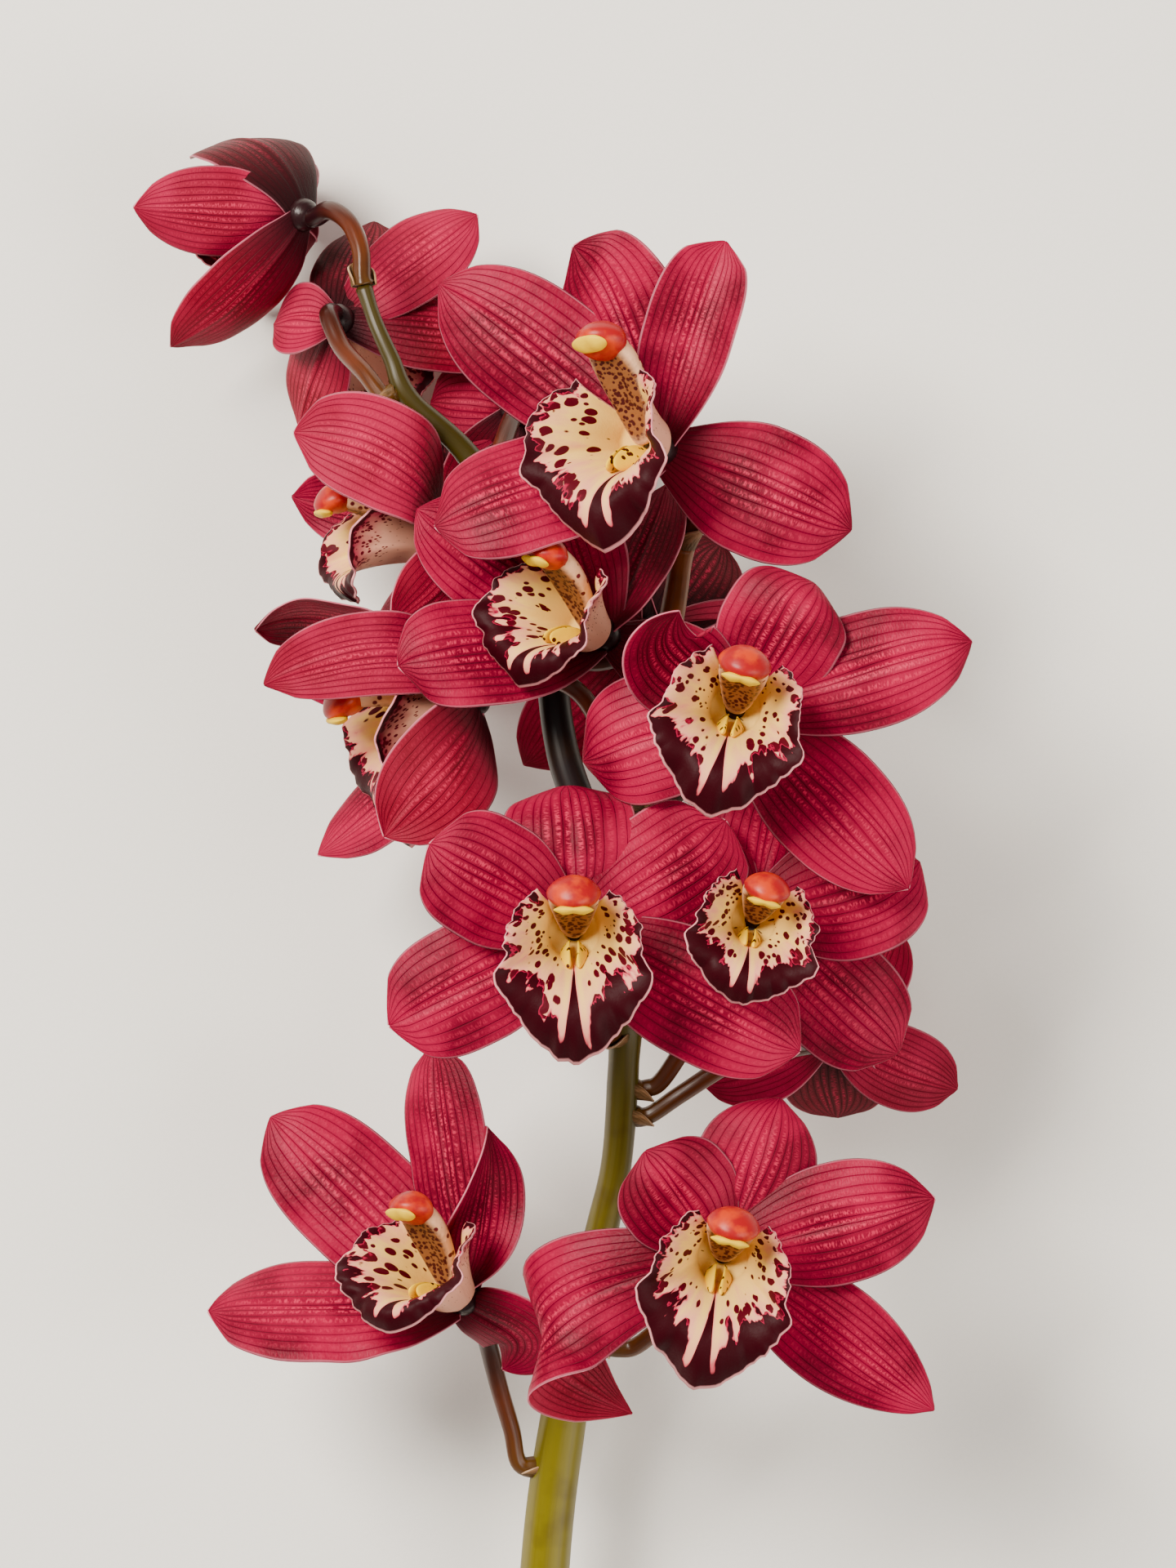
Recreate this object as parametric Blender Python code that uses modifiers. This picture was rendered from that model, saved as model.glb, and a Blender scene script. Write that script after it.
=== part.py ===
"""A cut cymbidium stem with fourteen flowers, lying on a flat surface.

The frame is metres with +Z up. The flower heads look up (+Z), the cut end points to -Y.
All sizes and places below are millimetres in a drawing frame whose zero is under the
middle of the flower spray. ORIGIN moves that frame so that the bottom centre of the
whole stem's box is the origin.
"""
from collections import namedtuple
from math import cos, pi, radians, sin

import bmesh
import bpy
from mathutils import Matrix, Vector

MM = 0.001
ORIGIN = Vector((9.86, 143.2, -0.2))

# Driving sizes in millimetres
TEPAL_THICK = 1.2
LIP_THICK = 1.2
GAP = 0.9
RECEPTACLE_RADIUS = 4.6
PEDICEL_RADIUS = 2.2
PEDICEL_NECK = 1.9
COLUMN_START = 5.4
COLUMN_REACH = 29.0
COLUMN_RISE = 7.4
LIP_START = 6.2
LIP_DEPTH = 21.0
LIP_REACH = 146.0
LIP_ROOT_RADIUS = 6.4

# Mesh fineness
TEPAL_ROWS = 6
TEPAL_COLUMNS = 2
LIP_AROUND = 12
LIP_ALONG = 4

Tepal = namedtuple("Tepal", "tip width near far out lead bend roll twist cup blunt aim")
Flower = namedtuple("Flower", "name centre face top tepals pedicel size droop lip_tilt column_tilt lip_face")


def tepal(tip, width, near=0.0, far=4.0, out=0.0, lead=(0, 0, 0), bend=(0, 0, 0), roll=0.0,
          twist=0.0, cup=-0.12, blunt=0.0, aim=None):
    """One sepal or petal: where its tip is from the flower's centre, and how it curves."""
    return Tepal(Vector(tip), width, near, far, out, Vector(lead), Vector(bend), roll, twist,
                 cup, blunt, Vector(aim) if aim else None)


def flower(name, centre, face, top, tepals, pedicel, size=1.0, droop=1.0, lip_tilt=0.0,
           column_tilt=0.0, lip_face=None):
    """A flower: its centre, the way it faces, the way its dorsal side points, its parts.

    lip_face is the way the lip's mouth looks, where it isn't the way the flower faces.
    """
    return Flower(name, Vector(centre), Vector(face), Vector(top), tepals, pedicel,
                  size, droop, lip_tilt, column_tilt, Vector(lip_face or face))


# The main stem from its cut end to its tip: x, y, z and radius
STEM = (
    (-32, -452, 6.8, 6.6), (-27, -400, 8, 6.6), (-21, -340, 12, 6.6), (-15, -280, 19, 6.6),
    (-11, -202, 30, 6.5), (-6.3, -163, 36, 6.1), (-1, -134, 41, 5.0), (3.9, -112, 46, 4.3),
    (7.4, -95, 49, 4.0), (9.1, -70, 53, 4.0), (10, -44, 57, 4.2), (5.5, -24, 59, 4.6),
    (-4, 0, 59.5, 4.3), (-7.5, 14, 59, 4.1), (-10, 34, 58.5, 3.9), (-15, 56, 61, 3.6),
    (-29.5, 81.5, 64, 3.2), (-44.5, 96, 68, 2.8), (-49, 106, 68, 2.5), (-53, 115, 67, 2.3),
    (-56, 124, 64, 2.2),
)
# The side branch that carries the uppermost front flower
BRANCH = (
    (9.8, -50, 56, 3.4), (13.5, -28, 59, 3.4), (13.8, -5, 60, 3.3), (18, 24, 64, 3.2),
    (22, 48, 68, 3.2), (23.5, 59, 71, 3.3),
)

FLOWERS = (
    flower("flower_01", (-73, 145, 42), (-0.70, 0.20, -0.68), (0.1, 1.0, 0.1), dict(
        dorsal_sepal=tepal((-28, 18, -24), 30, near=-6, far=-6, out=14, cup=0.2),
        left_petal=tepal((-42, 1, 8), 23, near=-3, far=-4, cup=0.2),
        right_petal=tepal((-10, 10, -38), 20, near=-3, far=-4, out=8),
        left_sepal=tepal((-34, -33, -8), 24, near=-7, far=-8, cup=0.15),
        right_sepal=tepal((-17, -18, -36), 18, near=-5, far=-4)),
        size=0.82, droop=0.5, lip_tilt=-12,
        pedicel=((-56.5, 127, 64), (-57, 134, 62), (-60, 141, 58), (-65, 145, 52))),
    flower("flower_02", (-63.5, 118, 40), (0.25, -0.30, -0.90), (-0.35, 0.94, 0.0), dict(
        dorsal_sepal=tepal((8, 28, -24), 24, near=-3, far=-3, cup=0.15),
        left_petal=tepal((-17, 0, -10), 20, near=-3, far=-3),
        right_petal=tepal((35, 28, -8), 24, near=-3, far=-4, cup=0.15),
        left_sepal=tepal((-11.5, -25.5, -22), 22, near=-3, far=-3, cup=0.15),
        right_sepal=tepal((49, -5, -4), 23, near=-3, far=-4, cup=0.15)),
        size=0.85, droop=0.7, lip_tilt=-12,
        pedicel=((-50.8, 96.5, 67.5), (-56, 103, 63), (-62, 110, 56), (-65.5, 118, 51))),
    flower("flower_03", (17.5, 82.5, 88), (-0.60, 0.30, 0.74), (0.03, 0.97, -0.2), dict(
        dorsal_sepal=tepal((-21, 50, -5), 32, near=-2, far=5, lead=(2, 0, 0), bend=(9, 3, 0),
                           blunt=0.8),
        left_petal=tepal((-54.4, 41.5, -12), 33, near=-4, far=4, bend=(0, 2, 0)),
        right_petal=tepal((16, 50, 6), 23, near=1, far=3, roll=30, cup=0.25, blunt=1),
        left_sepal=tepal((-55, -19.5, 3), 32, near=-2, far=4, lead=(0, 1, 1), bend=(0, 1, 8),
                         roll=-8, blunt=0.8),
        right_sepal=tepal((47, -20.5, 4), 33, near=0, far=5, blunt=0.5)),
        size=1.06, lip_tilt=-5, column_tilt=24, lip_face=(-0.48, 0, 0.88),
        pedicel=((24.3, 60.8, 72), (26.8, 68, 76), (25.5, 76, 81))),
    flower("flower_04", (-37, 63, 56), (-0.95, 0.02, 0.28), (0.0, 1.0, 0.0), dict(
        dorsal_sepal=tepal((-35, 26, 0), 23, near=-6, far=-5, out=2, cup=0.1),
        left_petal=tepal((-39, 11, -26), 22, near=-8, far=-4, out=4, cup=0.2),
        right_petal=tepal((-36, 24, 20), 27, near=-10, far=-6, out=4, lead=(1, 2, 20),
                          bend=(1, 3, 11), cup=-0.1, blunt=0.6, aim=(0, 0, 1)),
        left_sepal=tepal((-19, -25, -26), 22, near=-9, far=-6),
        right_sepal=tepal((-12, -24, 16), 22, near=-12, far=-6, lead=(0, 0, 4), cup=0.05,
                          aim=(0, 0, 1))),
        size=0.9, droop=0.15, lip_tilt=-8, column_tilt=3,
        pedicel=((-20.4, 57.5, 56.5), (-22.5, 59.8, 55.3), (-27, 62, 54))),
    flower("flower_05", (3.6, 37, 75), (-0.58, 0.45, 0.68), (0.38, 0.85, -0.2), dict(
        dorsal_sepal=tepal((-12, 40, -5), 26, near=-2),
        left_petal=tepal((-46, 31, 2), 28, near=-8.5, far=5),
        right_petal=tepal((16, 38, -8), 25, near=-3, bend=(5, 0, 0), cup=0.1),
        left_sepal=tepal((-50, -8, 11), 29, near=-4, far=6, bend=(0, 1, 7), twist=-39,
                         blunt=0.8),
        right_sepal=tepal((34, -14, 0), 24, near=-2)),
        size=0.92, droop=0.85, lip_tilt=-14, column_tilt=2, lip_face=(-0.55, 0.05, 0.84),
        pedicel=((-4.6, 32, 63), (2, 30.5, 64), (8.3, 32.3, 67.8))),
    flower("flower_06", (-29, 21, 62), (-0.93, -0.26, 0.25), (-0.15, 0.95, 0.1), dict(
        dorsal_sepal=tepal((-55, 18, -5), 26, near=-4, far=2, out=16, cup=0.2),
        left_petal=tepal((-49, 7, -26), 22, near=-10, far=-4, out=4, cup=0.2),
        right_petal=tepal((-51, 3.5, 19), 21, near=-12, far=-4, out=5, lead=(0, 6, 16),
                          bend=(0, 5, 7), cup=-0.1, blunt=0.4, aim=(0, 0, 1)),
        left_sepal=tepal((-40, -39, -20), 25, near=-10, far=-6),
        right_sepal=tepal((-21, -34, 28), 29, near=-8, far=-4, lead=(1, 0, 14),
                          bend=(1, 0, 12), cup=-0.15, aim=(0, 0, 1))),
        size=1.05, droop=0.85, lip_tilt=-4, column_tilt=2,
        pedicel=((9.6, -5, 63.2), (7, 4, 68), (0, 20, 75), (-8, 26, 76), (-16, 26, 69.5),
                 (-20.5, 23.6, 61.5))),
    flower("flower_07", (36, 18.5, 98), (-0.02, 0.10, 0.99), (0.25, 0.97, 0.0), dict(
        dorsal_sepal=tepal((19, 30, 2), 31, near=0, far=12, bend=(0, 4, 0), blunt=1),
        left_petal=tepal((-14, 23, 14), 26, near=-3, far=0, bend=(-16, -6, 0), cup=0.1),
        right_petal=tepal((57, 16, 4), 29, far=6),
        left_sepal=tepal((-37, -13, -12), 32, near=2, far=10, blunt=0.8),
        right_sepal=tepal((42, -44, 2), 30, far=8)),
        droop=0.9, lip_tilt=-8,
        pedicel=((18.2, -5, 62.2), (24, -1, 66), (31, 8, 76), (35, 15, 86))),
    flower("flower_08", (-3.4, -35.5, 100), (0.0, 0.08, 1.0), (0.0, 1.0, 0.0), dict(
        dorsal_sepal=tepal((-2, 35, -18), 33, near=2, far=14, bend=(0, 6, 0), blunt=1.4),
        left_petal=tepal((-35, 21, 8), 31, blunt=1),
        right_petal=tepal((37, 26.5, -9), 32, far=2, bend=(3, -3, 0), blunt=1.4),
        left_sepal=tepal((-45, -23.5, -6), 31, far=6, blunt=1),
        right_sepal=tepal((55, -29.5, 0), 31, far=7, blunt=0.8)),
        pedicel=((6.5, -63, 57.5), (3, -62, 64), (-1, -52, 76), (-3, -40, 86))),
    flower("flower_09", (40.5, -32.5, 88), (0.03, 0.05, 1.0), (0.26, 0.96, 0.0), dict(
        dorsal_sepal=tepal((8, 37.5, -8), 28),
        left_petal=tepal((-24, 21.5, -6), 26),
        right_petal=tepal((41, 13.5, 0), 33, far=6, bend=(3, -4, 0), blunt=0.5),
        left_sepal=tepal((-16, -30.5, -10), 24),
        right_sepal=tepal((36, -34, -8), 30, far=4, blunt=1)),
        size=0.88, droop=0.55, lip_tilt=-10,
        pedicel=((14.5, -77, 51), (20, -73, 53), (33, -50, 62), (39, -36, 76))),
    flower("flower_10", (62, -64.5, 36), (0.10, 0.10, -1.0), (0.05, -1.0, 0.0), dict(
        dorsal_sepal=tepal((3, -22, -20), 26, near=-3, far=-3),
        left_petal=tepal((33, -14, -8), 22, near=-3, far=-3),
        right_petal=tepal((-33, -12, -6), 22, near=-3, far=-3),
        left_sepal=tepal((17, 29, -4), 22, near=-3, far=-3),
        right_sepal=tepal((-18, 26, -22), 24, near=-3, far=-3)),
        pedicel=((15, -84, 50), (24, -78, 52), (37, -70, 53), (50, -67, 52), (59, -65.5, 48))),
    flower("flower_11", (-31.6, -128.5, 64), (-0.50, 0.60, 0.62), (0.2, 0.95, -0.3), dict(
        dorsal_sepal=tepal((-7, 63, -10), 24, near=-4, far=5, blunt=0.5),
        left_petal=tepal((-49, 44, -18), 32, near=-11, far=4, blunt=0.5),
        right_petal=tepal((6, 43, 2), 19, near=-5, far=0, twist=110, cup=0.5, bend=(3, -4, 6)),
        left_sepal=tepal((-64, -4, -6), 32, near=-6, far=4, blunt=0.3),
        right_sepal=tepal((10, -19, -8), 24, near=2, lead=(0, 0, 4), bend=(20, 2, 4))),
        size=0.95, lip_tilt=-22, column_tilt=2, lip_face=(-0.45, 0.2, 0.87),
        pedicel=((-17.4, -174, 35.5), (-19.5, -165, 38), (-22.5, -154, 43), (-25, -143, 49),
                 (-26.6, -134.9, 56.3))),
    flower("flower_12", (33, -114.5, 92), (0.0, 0.08, 1.0), (0.23, 0.97, 0.0), dict(
        dorsal_sepal=tepal((14, 37.5, -4), 30, far=8),
        left_petal=tepal((-19, 25, 4), 30, blunt=0.6),
        right_petal=tepal((51.5, 13.5, 4), 30, far=6),
        left_sepal=tepal((-22, -42, -20), 33, far=0, lead=(-24, 7, 12), bend=(-54, 10, 6),
                         aim=(-1, 0, 0)),
        right_sepal=tepal((51.5, -38.5, 0), 26, far=6, blunt=-0.6)),
        pedicel=((8, -144, 40), (14, -142, 42), (25, -130, 54), (31, -118, 72), (32.5, -115, 82))),
    flower("flower_13", (-18.4, 95.7, 34), (0.0, 0.10, -1.0), (0.3, 0.95, 0.0), dict(
        dorsal_sepal=tepal((5, 32, -26), 24, near=0, far=0),
        left_petal=tepal((-22, 2, -4), 24, near=-3, far=-3),
        right_petal=tepal((34, 8, -22), 24, near=-3, far=-3),
        left_sepal=tepal((-14, -28, -15), 22, near=-6, far=-5),
        right_sepal=tepal((20, -28, -18), 22, near=-6, far=-5)),
        pedicel=((-24.4, 79.5, 61), (-22.5, 83, 56), (-20, 91, 47))),
    flower("flower_14", (16.5, 39, 35), (0.0, 0.05, -1.0), (0.3, 0.95, 0.0), dict(
        dorsal_sepal=tepal((18, 24, -22), 26, near=-3, far=-3),
        left_petal=tepal((-26, 20, -22), 24, near=-3, far=-3),
        right_petal=tepal((38, -6, -20), 24, near=-3, far=-3),
        left_sepal=tepal((-33, -34, -10), 24, near=-3, far=-3),
        right_sepal=tepal((12, -38, -26), 24, near=-3, far=-3)),
        pedicel=((-5, 30, 56), (0, 33, 53), (9, 37, 49), (15, 39, 45))),
)


def smooth(value):
    """Ease from 0 to 1."""
    return value * value * (3.0 - 2.0 * value)


def lerp(first, second, amount):
    return first + (second - first) * amount


def bezier(points, t):
    """Point on a cubic curve with four control points."""
    a, b, c, d = points
    u = 1.0 - t
    return a * u ** 3 + b * (3 * u * u * t) + c * (3 * u * t * t) + d * t ** 3


def bezier_slope(points, t):
    a, b, c, d = points
    u = 1.0 - t
    return (b - a) * (3 * u * u) + (c - b) * (6 * u * t) + (d - c) * (3 * t * t)


def blade_outline(t, blunt):
    """Share of the full width along a sepal or petal, from its base to its tip."""
    widest = 0.52
    base = 0.34
    if t < widest:
        return lerp(base, 1.0, sin(0.5 * pi * t / widest) ** 1.1)
    tail = (t - widest) / (1.0 - widest)
    return max(1.0 - tail ** (2.5 + blunt), 0.0) ** (0.72 - 0.14 * blunt)


def flower_frame(spec, face):
    """Right, up and forward directions of a part of a flower that faces the given way."""
    forward = face.normalized()
    right = spec.top.cross(forward).normalized()
    return right, forward.cross(right), forward


def blade_point(spec, name, t, across):
    """Point on the middle surface of one sepal or petal. across runs from -1 to 1."""
    blade = spec.tepals[name]
    forward = spec.face.normalized()
    flat = (blade.tip - forward * blade.tip.dot(forward)).normalized()
    layer = -0.9 if "sepal" in name else 0.5
    base = spec.centre + flat * 1.0 + forward * layer
    tip = spec.centre + blade.tip
    reach = tip - base
    swell = flat * blade.out
    controls = (base, base + reach * 0.3 + forward * blade.near + swell + blade.lead,
                base + reach * 0.68 + forward * blade.far + swell + blade.bend, tip)
    middle = bezier(controls, t)
    along = bezier_slope(controls, min(max(t, 0.02), 0.98)).normalized()
    side = (blade.aim or flat).cross(forward)
    side = Matrix.Rotation(radians(blade.roll + blade.twist * t), 3, along) @ side
    side = (side - along * side.dot(along)).normalized()
    front = side.cross(along)
    half = 0.5 * blade.width * max(blade_outline(t, blade.blunt), 0.03)
    return middle + side * (across * half) + front * (blade.cup * half * across * across)


def lip_point(spec, around, s):
    """Point on the lip's middle surface. around is the angle from its tip, s goes outwards.

    The rings that make the lip's tube lie across the way its mouth looks, and follow each
    other the way the flower faces.
    """
    right, up, mouth = flower_frame(spec, spec.lip_face)
    angle = abs(around)
    radius = lerp(27.5, 21.4, smooth(min(angle / 50.0, 1.0)))
    radius += 1.8 * max(1.0 - angle / 20.0, 0.0)
    notch = max(1.0 - abs(angle - 74.0) / 9.0, 0.0)
    side_lobe = smooth(min(max((angle - 66.0) / 20.0, 0.0), 1.0))
    radius = lerp(radius, 16.4 - min(max((angle - 82.0) / 68.0, 0.0), 1.0), side_lobe)
    radius -= 1.6 * notch
    middle_lobe = cos(radians(min(angle, 84.0)) * 90.0 / 84.0) ** 2
    radius = lerp(radius, 16.0 + (radius - 16.0) * spec.droop, middle_lobe)
    rim = lerp(29.5, LIP_DEPTH, middle_lobe)
    rim -= 9.0 * smooth(min(max((angle - 95.0) / 40.0, 0.0), 1.0))
    rise = 1.0 - (1.0 - s) ** 1.5
    depth = LIP_START + (LIP_DEPTH - LIP_START) * rise
    crest = (rim - LIP_DEPTH) * rise + 10.0 * middle_lobe * sin(pi * s ** 1.1)
    out = LIP_ROOT_RADIUS + (radius - LIP_ROOT_RADIUS) * s ** 1.35
    drop = lerp(-1.0, -4.0, smooth(s))
    local = Vector((out * sin(radians(around)), drop - out * cos(radians(around)), depth))
    hinge = Vector((0.0, -5.0, LIP_START))
    tilt = Matrix.Rotation(radians(spec.lip_tilt), 3, "X")
    local = tilt @ (local - hinge) * spec.size + hinge
    return (spec.centre + right * local.x + up * local.y + spec.face.normalized() * local.z
            + mouth * (crest * spec.size))


def new_object(name, mesh, collection, material=None):
    obj = bpy.data.objects.new(name, mesh)
    collection.objects.link(obj)
    if material:
        mesh.materials.append(material)
    return obj


def shaded(mesh):
    mesh.shade_smooth()
    mesh.set_sharp_from_angle(angle=radians(40))
    return mesh


def sheet(name, collection, rows, columns, place):
    """A grid whose points are placed by a function of (row share, column from -1 to 1)."""
    shape = bmesh.new()
    bmesh.ops.create_grid(shape, x_segments=rows, y_segments=columns, size=1.0)
    for vert in shape.verts:
        vert.co = place(0.5 * (vert.co.x + 1.0), vert.co.y) * MM
    mesh = bpy.data.meshes.new(name)
    shape.to_mesh(mesh)
    shape.free()
    return new_object(name, shaded(mesh), collection)


def thicken(obj, thickness):
    wall = obj.modifiers.new("wall", "SOLIDIFY")
    wall.thickness = thickness * MM
    wall.offset = 0.0
    return obj


def make_material(name, colour, roughness):
    material = bpy.data.materials.new(name)
    material.use_nodes = True
    shader = material.node_tree.nodes["Principled BSDF"]
    shader.inputs["Base Color"].default_value = (*colour, 1.0)
    shader.inputs["Roughness"].default_value = roughness
    shader.inputs["Metallic"].default_value = 0.0
    material.diffuse_color = (*colour, 1.0)
    return material


def hide_tool(obj):
    obj.hide_render = True
    obj.display_type = "WIRE"


def make_tepals(spec, parts, tools, material):
    """The three sepals and two petals, grown together on the receptacle."""
    core = bmesh.new()
    bmesh.ops.create_uvsphere(core, u_segments=8, v_segments=6, radius=RECEPTACLE_RADIUS * MM)
    bmesh.ops.translate(core, verts=core.verts, vec=spec.centre * MM)
    mesh = bpy.data.meshes.new(spec.name + "_tepals")
    core.to_mesh(mesh)
    core.free()
    joined = new_object(spec.name + "_tepals", shaded(mesh), parts, material)
    for name in spec.tepals:
        blade = sheet(f"{spec.name}_{name}_blade", tools, TEPAL_ROWS, TEPAL_COLUMNS,
                      lambda t, across, name=name: blade_point(spec, name, t, across))
        thicken(blade, TEPAL_THICK)
        hide_tool(blade)
        union = joined.modifiers.new(name, "BOOLEAN")
        union.operation = "UNION"
        union.solver = "EXACT"
        union.object = blade
    return joined


def make_lip(spec, parts, material):
    """The lip: a trumpet round the column, open above it, with a broad lower lobe."""
    lip = sheet(spec.name + "_lip", parts, LIP_ALONG, LIP_AROUND,
                lambda s, across: lip_point(spec, LIP_REACH * across, s))
    lip.data.materials.append(material)
    return thicken(lip, LIP_THICK)


def make_column(spec, parts, material):
    """The column: an arching body with the anther cap at its end."""
    right, up, forward = flower_frame(spec, spec.face)
    shape = bmesh.new()
    bmesh.ops.create_uvsphere(shape, u_segments=8, v_segments=7, radius=1.0)
    tilt = Matrix.Rotation(radians(-spec.column_tilt), 3, "X")
    for vert in shape.verts:
        t = 0.5 * (vert.co.z + 1.0)
        ring = Vector((vert.co.x, vert.co.y))
        swell = ring.length
        width = lerp(3.4, 6.4, smooth(t))
        height = lerp(3.6, 4.4, smooth(t))
        rise = COLUMN_RISE * sin(0.5 * pi * t)
        fullness = swell ** 0.35 if swell > 0 else 0.0
        turn = ring.normalized() if swell > 1e-6 else Vector((0.0, 0.0))
        local = Vector((turn.x * width * fullness, rise + turn.y * height * fullness,
                        COLUMN_REACH * t))
        local = tilt @ local * spec.size + Vector((0.0, 0.0, COLUMN_START))
        vert.co = (spec.centre + right * local.x + up * local.y + forward * local.z) * MM
    mesh = bpy.data.meshes.new(spec.name + "_column")
    shape.to_mesh(mesh)
    shape.free()
    return new_object(spec.name + "_column", shaded(mesh), parts, material)


def through(points, steps):
    """A smooth run of points through the given ones."""
    run = []
    for i in range(len(points) - 1):
        before = points[max(i - 1, 0)]
        after = points[min(i + 2, len(points) - 1)]
        start, end = points[i], points[i + 1]
        slope_in = (end - before) * (0.5 if i > 0 else 1.0)
        slope_out = (after - start) * (0.5 if i + 2 < len(points) else 1.0)
        for k in range(steps):
            u = k / steps
            run.append(start * (2 * u ** 3 - 3 * u ** 2 + 1) + slope_in * (u ** 3 - 2 * u ** 2 + u)
                       + end * (3 * u ** 2 - 2 * u ** 3) + slope_out * (u ** 3 - u ** 2))
    run.append(points[-1])
    return run


def rod(name, collection, places, radii, sides, material):
    """A round stalk along the places."""
    curve = bpy.data.curves.new(name, "CURVE")
    curve.dimensions = "3D"
    curve.bevel_depth = MM
    curve.bevel_resolution = sides // 2 - 2
    curve.use_fill_caps = True
    spline = curve.splines.new("POLY")
    spline.points.add(len(places) - 1)
    for point, place, radius in zip(spline.points, places, radii):
        point.co = (*(place * MM), 1.0)
        point.radius = radius
    curve.materials.append(material)
    obj = bpy.data.objects.new(name, curve)
    collection.objects.link(obj)
    return obj


def make_pedicel(spec, parts, material):
    """The flower's own stalk, from the stem to the back of the flower."""
    back = spec.centre - spec.face.normalized() * (RECEPTACLE_RADIUS + GAP)
    places = through([Vector(place) for place in spec.pedicel] + [back], 2)
    count = len(places) - 1
    radii = [lerp(PEDICEL_RADIUS, PEDICEL_NECK, i / count) for i in range(count + 1)]
    return rod(spec.name + "_pedicel", parts, places, radii, 6, material)


def as_mesh(obj, collection):
    """A mesh object with a curve object's shape, with its caps joined on."""
    graph = bpy.context.evaluated_depsgraph_get()
    mesh = bpy.data.meshes.new_from_object(obj.evaluated_get(graph))
    shape = bmesh.new()
    shape.from_mesh(mesh)
    bmesh.ops.remove_doubles(shape, verts=shape.verts, dist=0.00001)
    bmesh.ops.recalc_face_normals(shape, faces=shape.faces)
    shape.to_mesh(mesh)
    shape.free()
    name = obj.name
    solid = bpy.data.objects.new(name + "_solid", mesh)
    solid.matrix_world = obj.matrix_world
    bpy.data.objects.remove(obj)
    solid.name = name
    collection.objects.link(solid)
    return solid


def make_stem(parts, tools, material):
    """The main stem with its one side branch."""
    def stalk(name, stations, collection):
        places = through([Vector(station[:3]) for station in stations], 2)
        sizes = through([Vector((station[3], 0, 0)) for station in stations], 2)
        return as_mesh(rod(name, collection, places, [size.x for size in sizes], 8, material),
                       collection)

    stem = stalk("stem", STEM, parts)
    branch = stalk("stem_branch_tool", BRANCH, tools)
    hide_tool(branch)
    union = stem.modifiers.new("branch", "BOOLEAN")
    union.operation = "UNION"
    union.solver = "EXACT"
    union.object = branch
    return stem


def main():
    for obj in list(bpy.data.objects):
        bpy.data.objects.remove(obj)
    parts = bpy.data.collections.new("cymbidium_stem")
    tools = bpy.data.collections.new("cutters")
    for collection in (parts, tools):
        bpy.context.scene.collection.children.link(collection)
    crimson = make_material("tepal_crimson", (0.36, 0.02, 0.06), 0.45)
    cream = make_material("lip_cream", (0.72, 0.38, 0.24), 0.45)
    red = make_material("column_red", (0.55, 0.08, 0.04), 0.35)
    brown = make_material("pedicel_brown", (0.22, 0.07, 0.03), 0.30)
    olive = make_material("stem_olive", (0.20, 0.20, 0.02), 0.35)
    made = [make_stem(parts, tools, olive)]
    for spec in FLOWERS:
        made.append(make_pedicel(spec, parts, brown))
        made.append(make_tepals(spec, parts, tools, crimson))
        made.append(make_lip(spec, parts, cream))
        made.append(make_column(spec, parts, red))
    for obj in list(parts.objects) + list(tools.objects):
        obj.location = ORIGIN * MM


main()
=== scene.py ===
"""Looks of the cut cymbidium stem: petals, lips, columns, stalks, stem, floor, light, camera.

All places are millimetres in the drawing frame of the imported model: zero is under the middle
of the spray, the cut end points to -Y and the flower heads look up. ORIGIN and MM turn them
into the model's own frame, which is in metres.
"""
from collections import namedtuple
from math import cos, exp, pi, radians, sin

import bmesh
import bpy
from mathutils import Matrix, Vector, noise


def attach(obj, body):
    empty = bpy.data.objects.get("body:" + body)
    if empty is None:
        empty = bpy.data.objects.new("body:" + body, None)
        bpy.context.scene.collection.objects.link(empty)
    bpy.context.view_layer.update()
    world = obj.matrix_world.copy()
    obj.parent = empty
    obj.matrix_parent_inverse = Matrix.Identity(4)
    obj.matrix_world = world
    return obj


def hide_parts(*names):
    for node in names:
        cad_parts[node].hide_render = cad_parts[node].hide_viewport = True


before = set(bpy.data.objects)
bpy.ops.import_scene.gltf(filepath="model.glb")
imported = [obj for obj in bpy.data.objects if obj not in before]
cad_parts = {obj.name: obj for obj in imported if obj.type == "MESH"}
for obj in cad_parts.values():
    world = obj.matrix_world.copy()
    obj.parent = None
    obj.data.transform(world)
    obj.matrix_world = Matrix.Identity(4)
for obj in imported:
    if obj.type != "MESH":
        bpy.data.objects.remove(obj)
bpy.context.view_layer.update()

MM = 0.001
ORIGIN = Vector((9.86, 143.2, -0.2))

# Wall thicknesses and other driving sizes in millimetres
TEPAL_THICK = 0.8
LIP_THICK = 0.8
RECEPTACLE_RADIUS = 4.4
COLUMN_START = 5.4
COLUMN_REACH = 29.0
COLUMN_RISE = 7.4
LIP_START = 6.2
LIP_DEPTH = 21.0
LIP_REACH = 146.0
LIP_ROOT_RADIUS = 6.4
# How far the lip's sheet goes inwards past its narrowest visible ring, in shares of its reach
LIP_ROOT = 0.18

Tepal = namedtuple("Tepal", "tip width near far out lead bend roll twist cup blunt aim")
Flower = namedtuple("Flower", "name centre face top tepals pedicel size droop lip_tilt column_tilt lip_face")


def tepal(tip, width, near=0.0, far=4.0, out=0.0, lead=(0, 0, 0), bend=(0, 0, 0), roll=0.0,
          twist=0.0, cup=-0.12, blunt=0.0, aim=None):
    """One sepal or petal: where its tip is from the flower's centre, and how it curves."""
    return Tepal(Vector(tip), width, near, far, out, Vector(lead), Vector(bend), roll, twist,
                 cup, blunt, Vector(aim) if aim else None)


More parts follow.
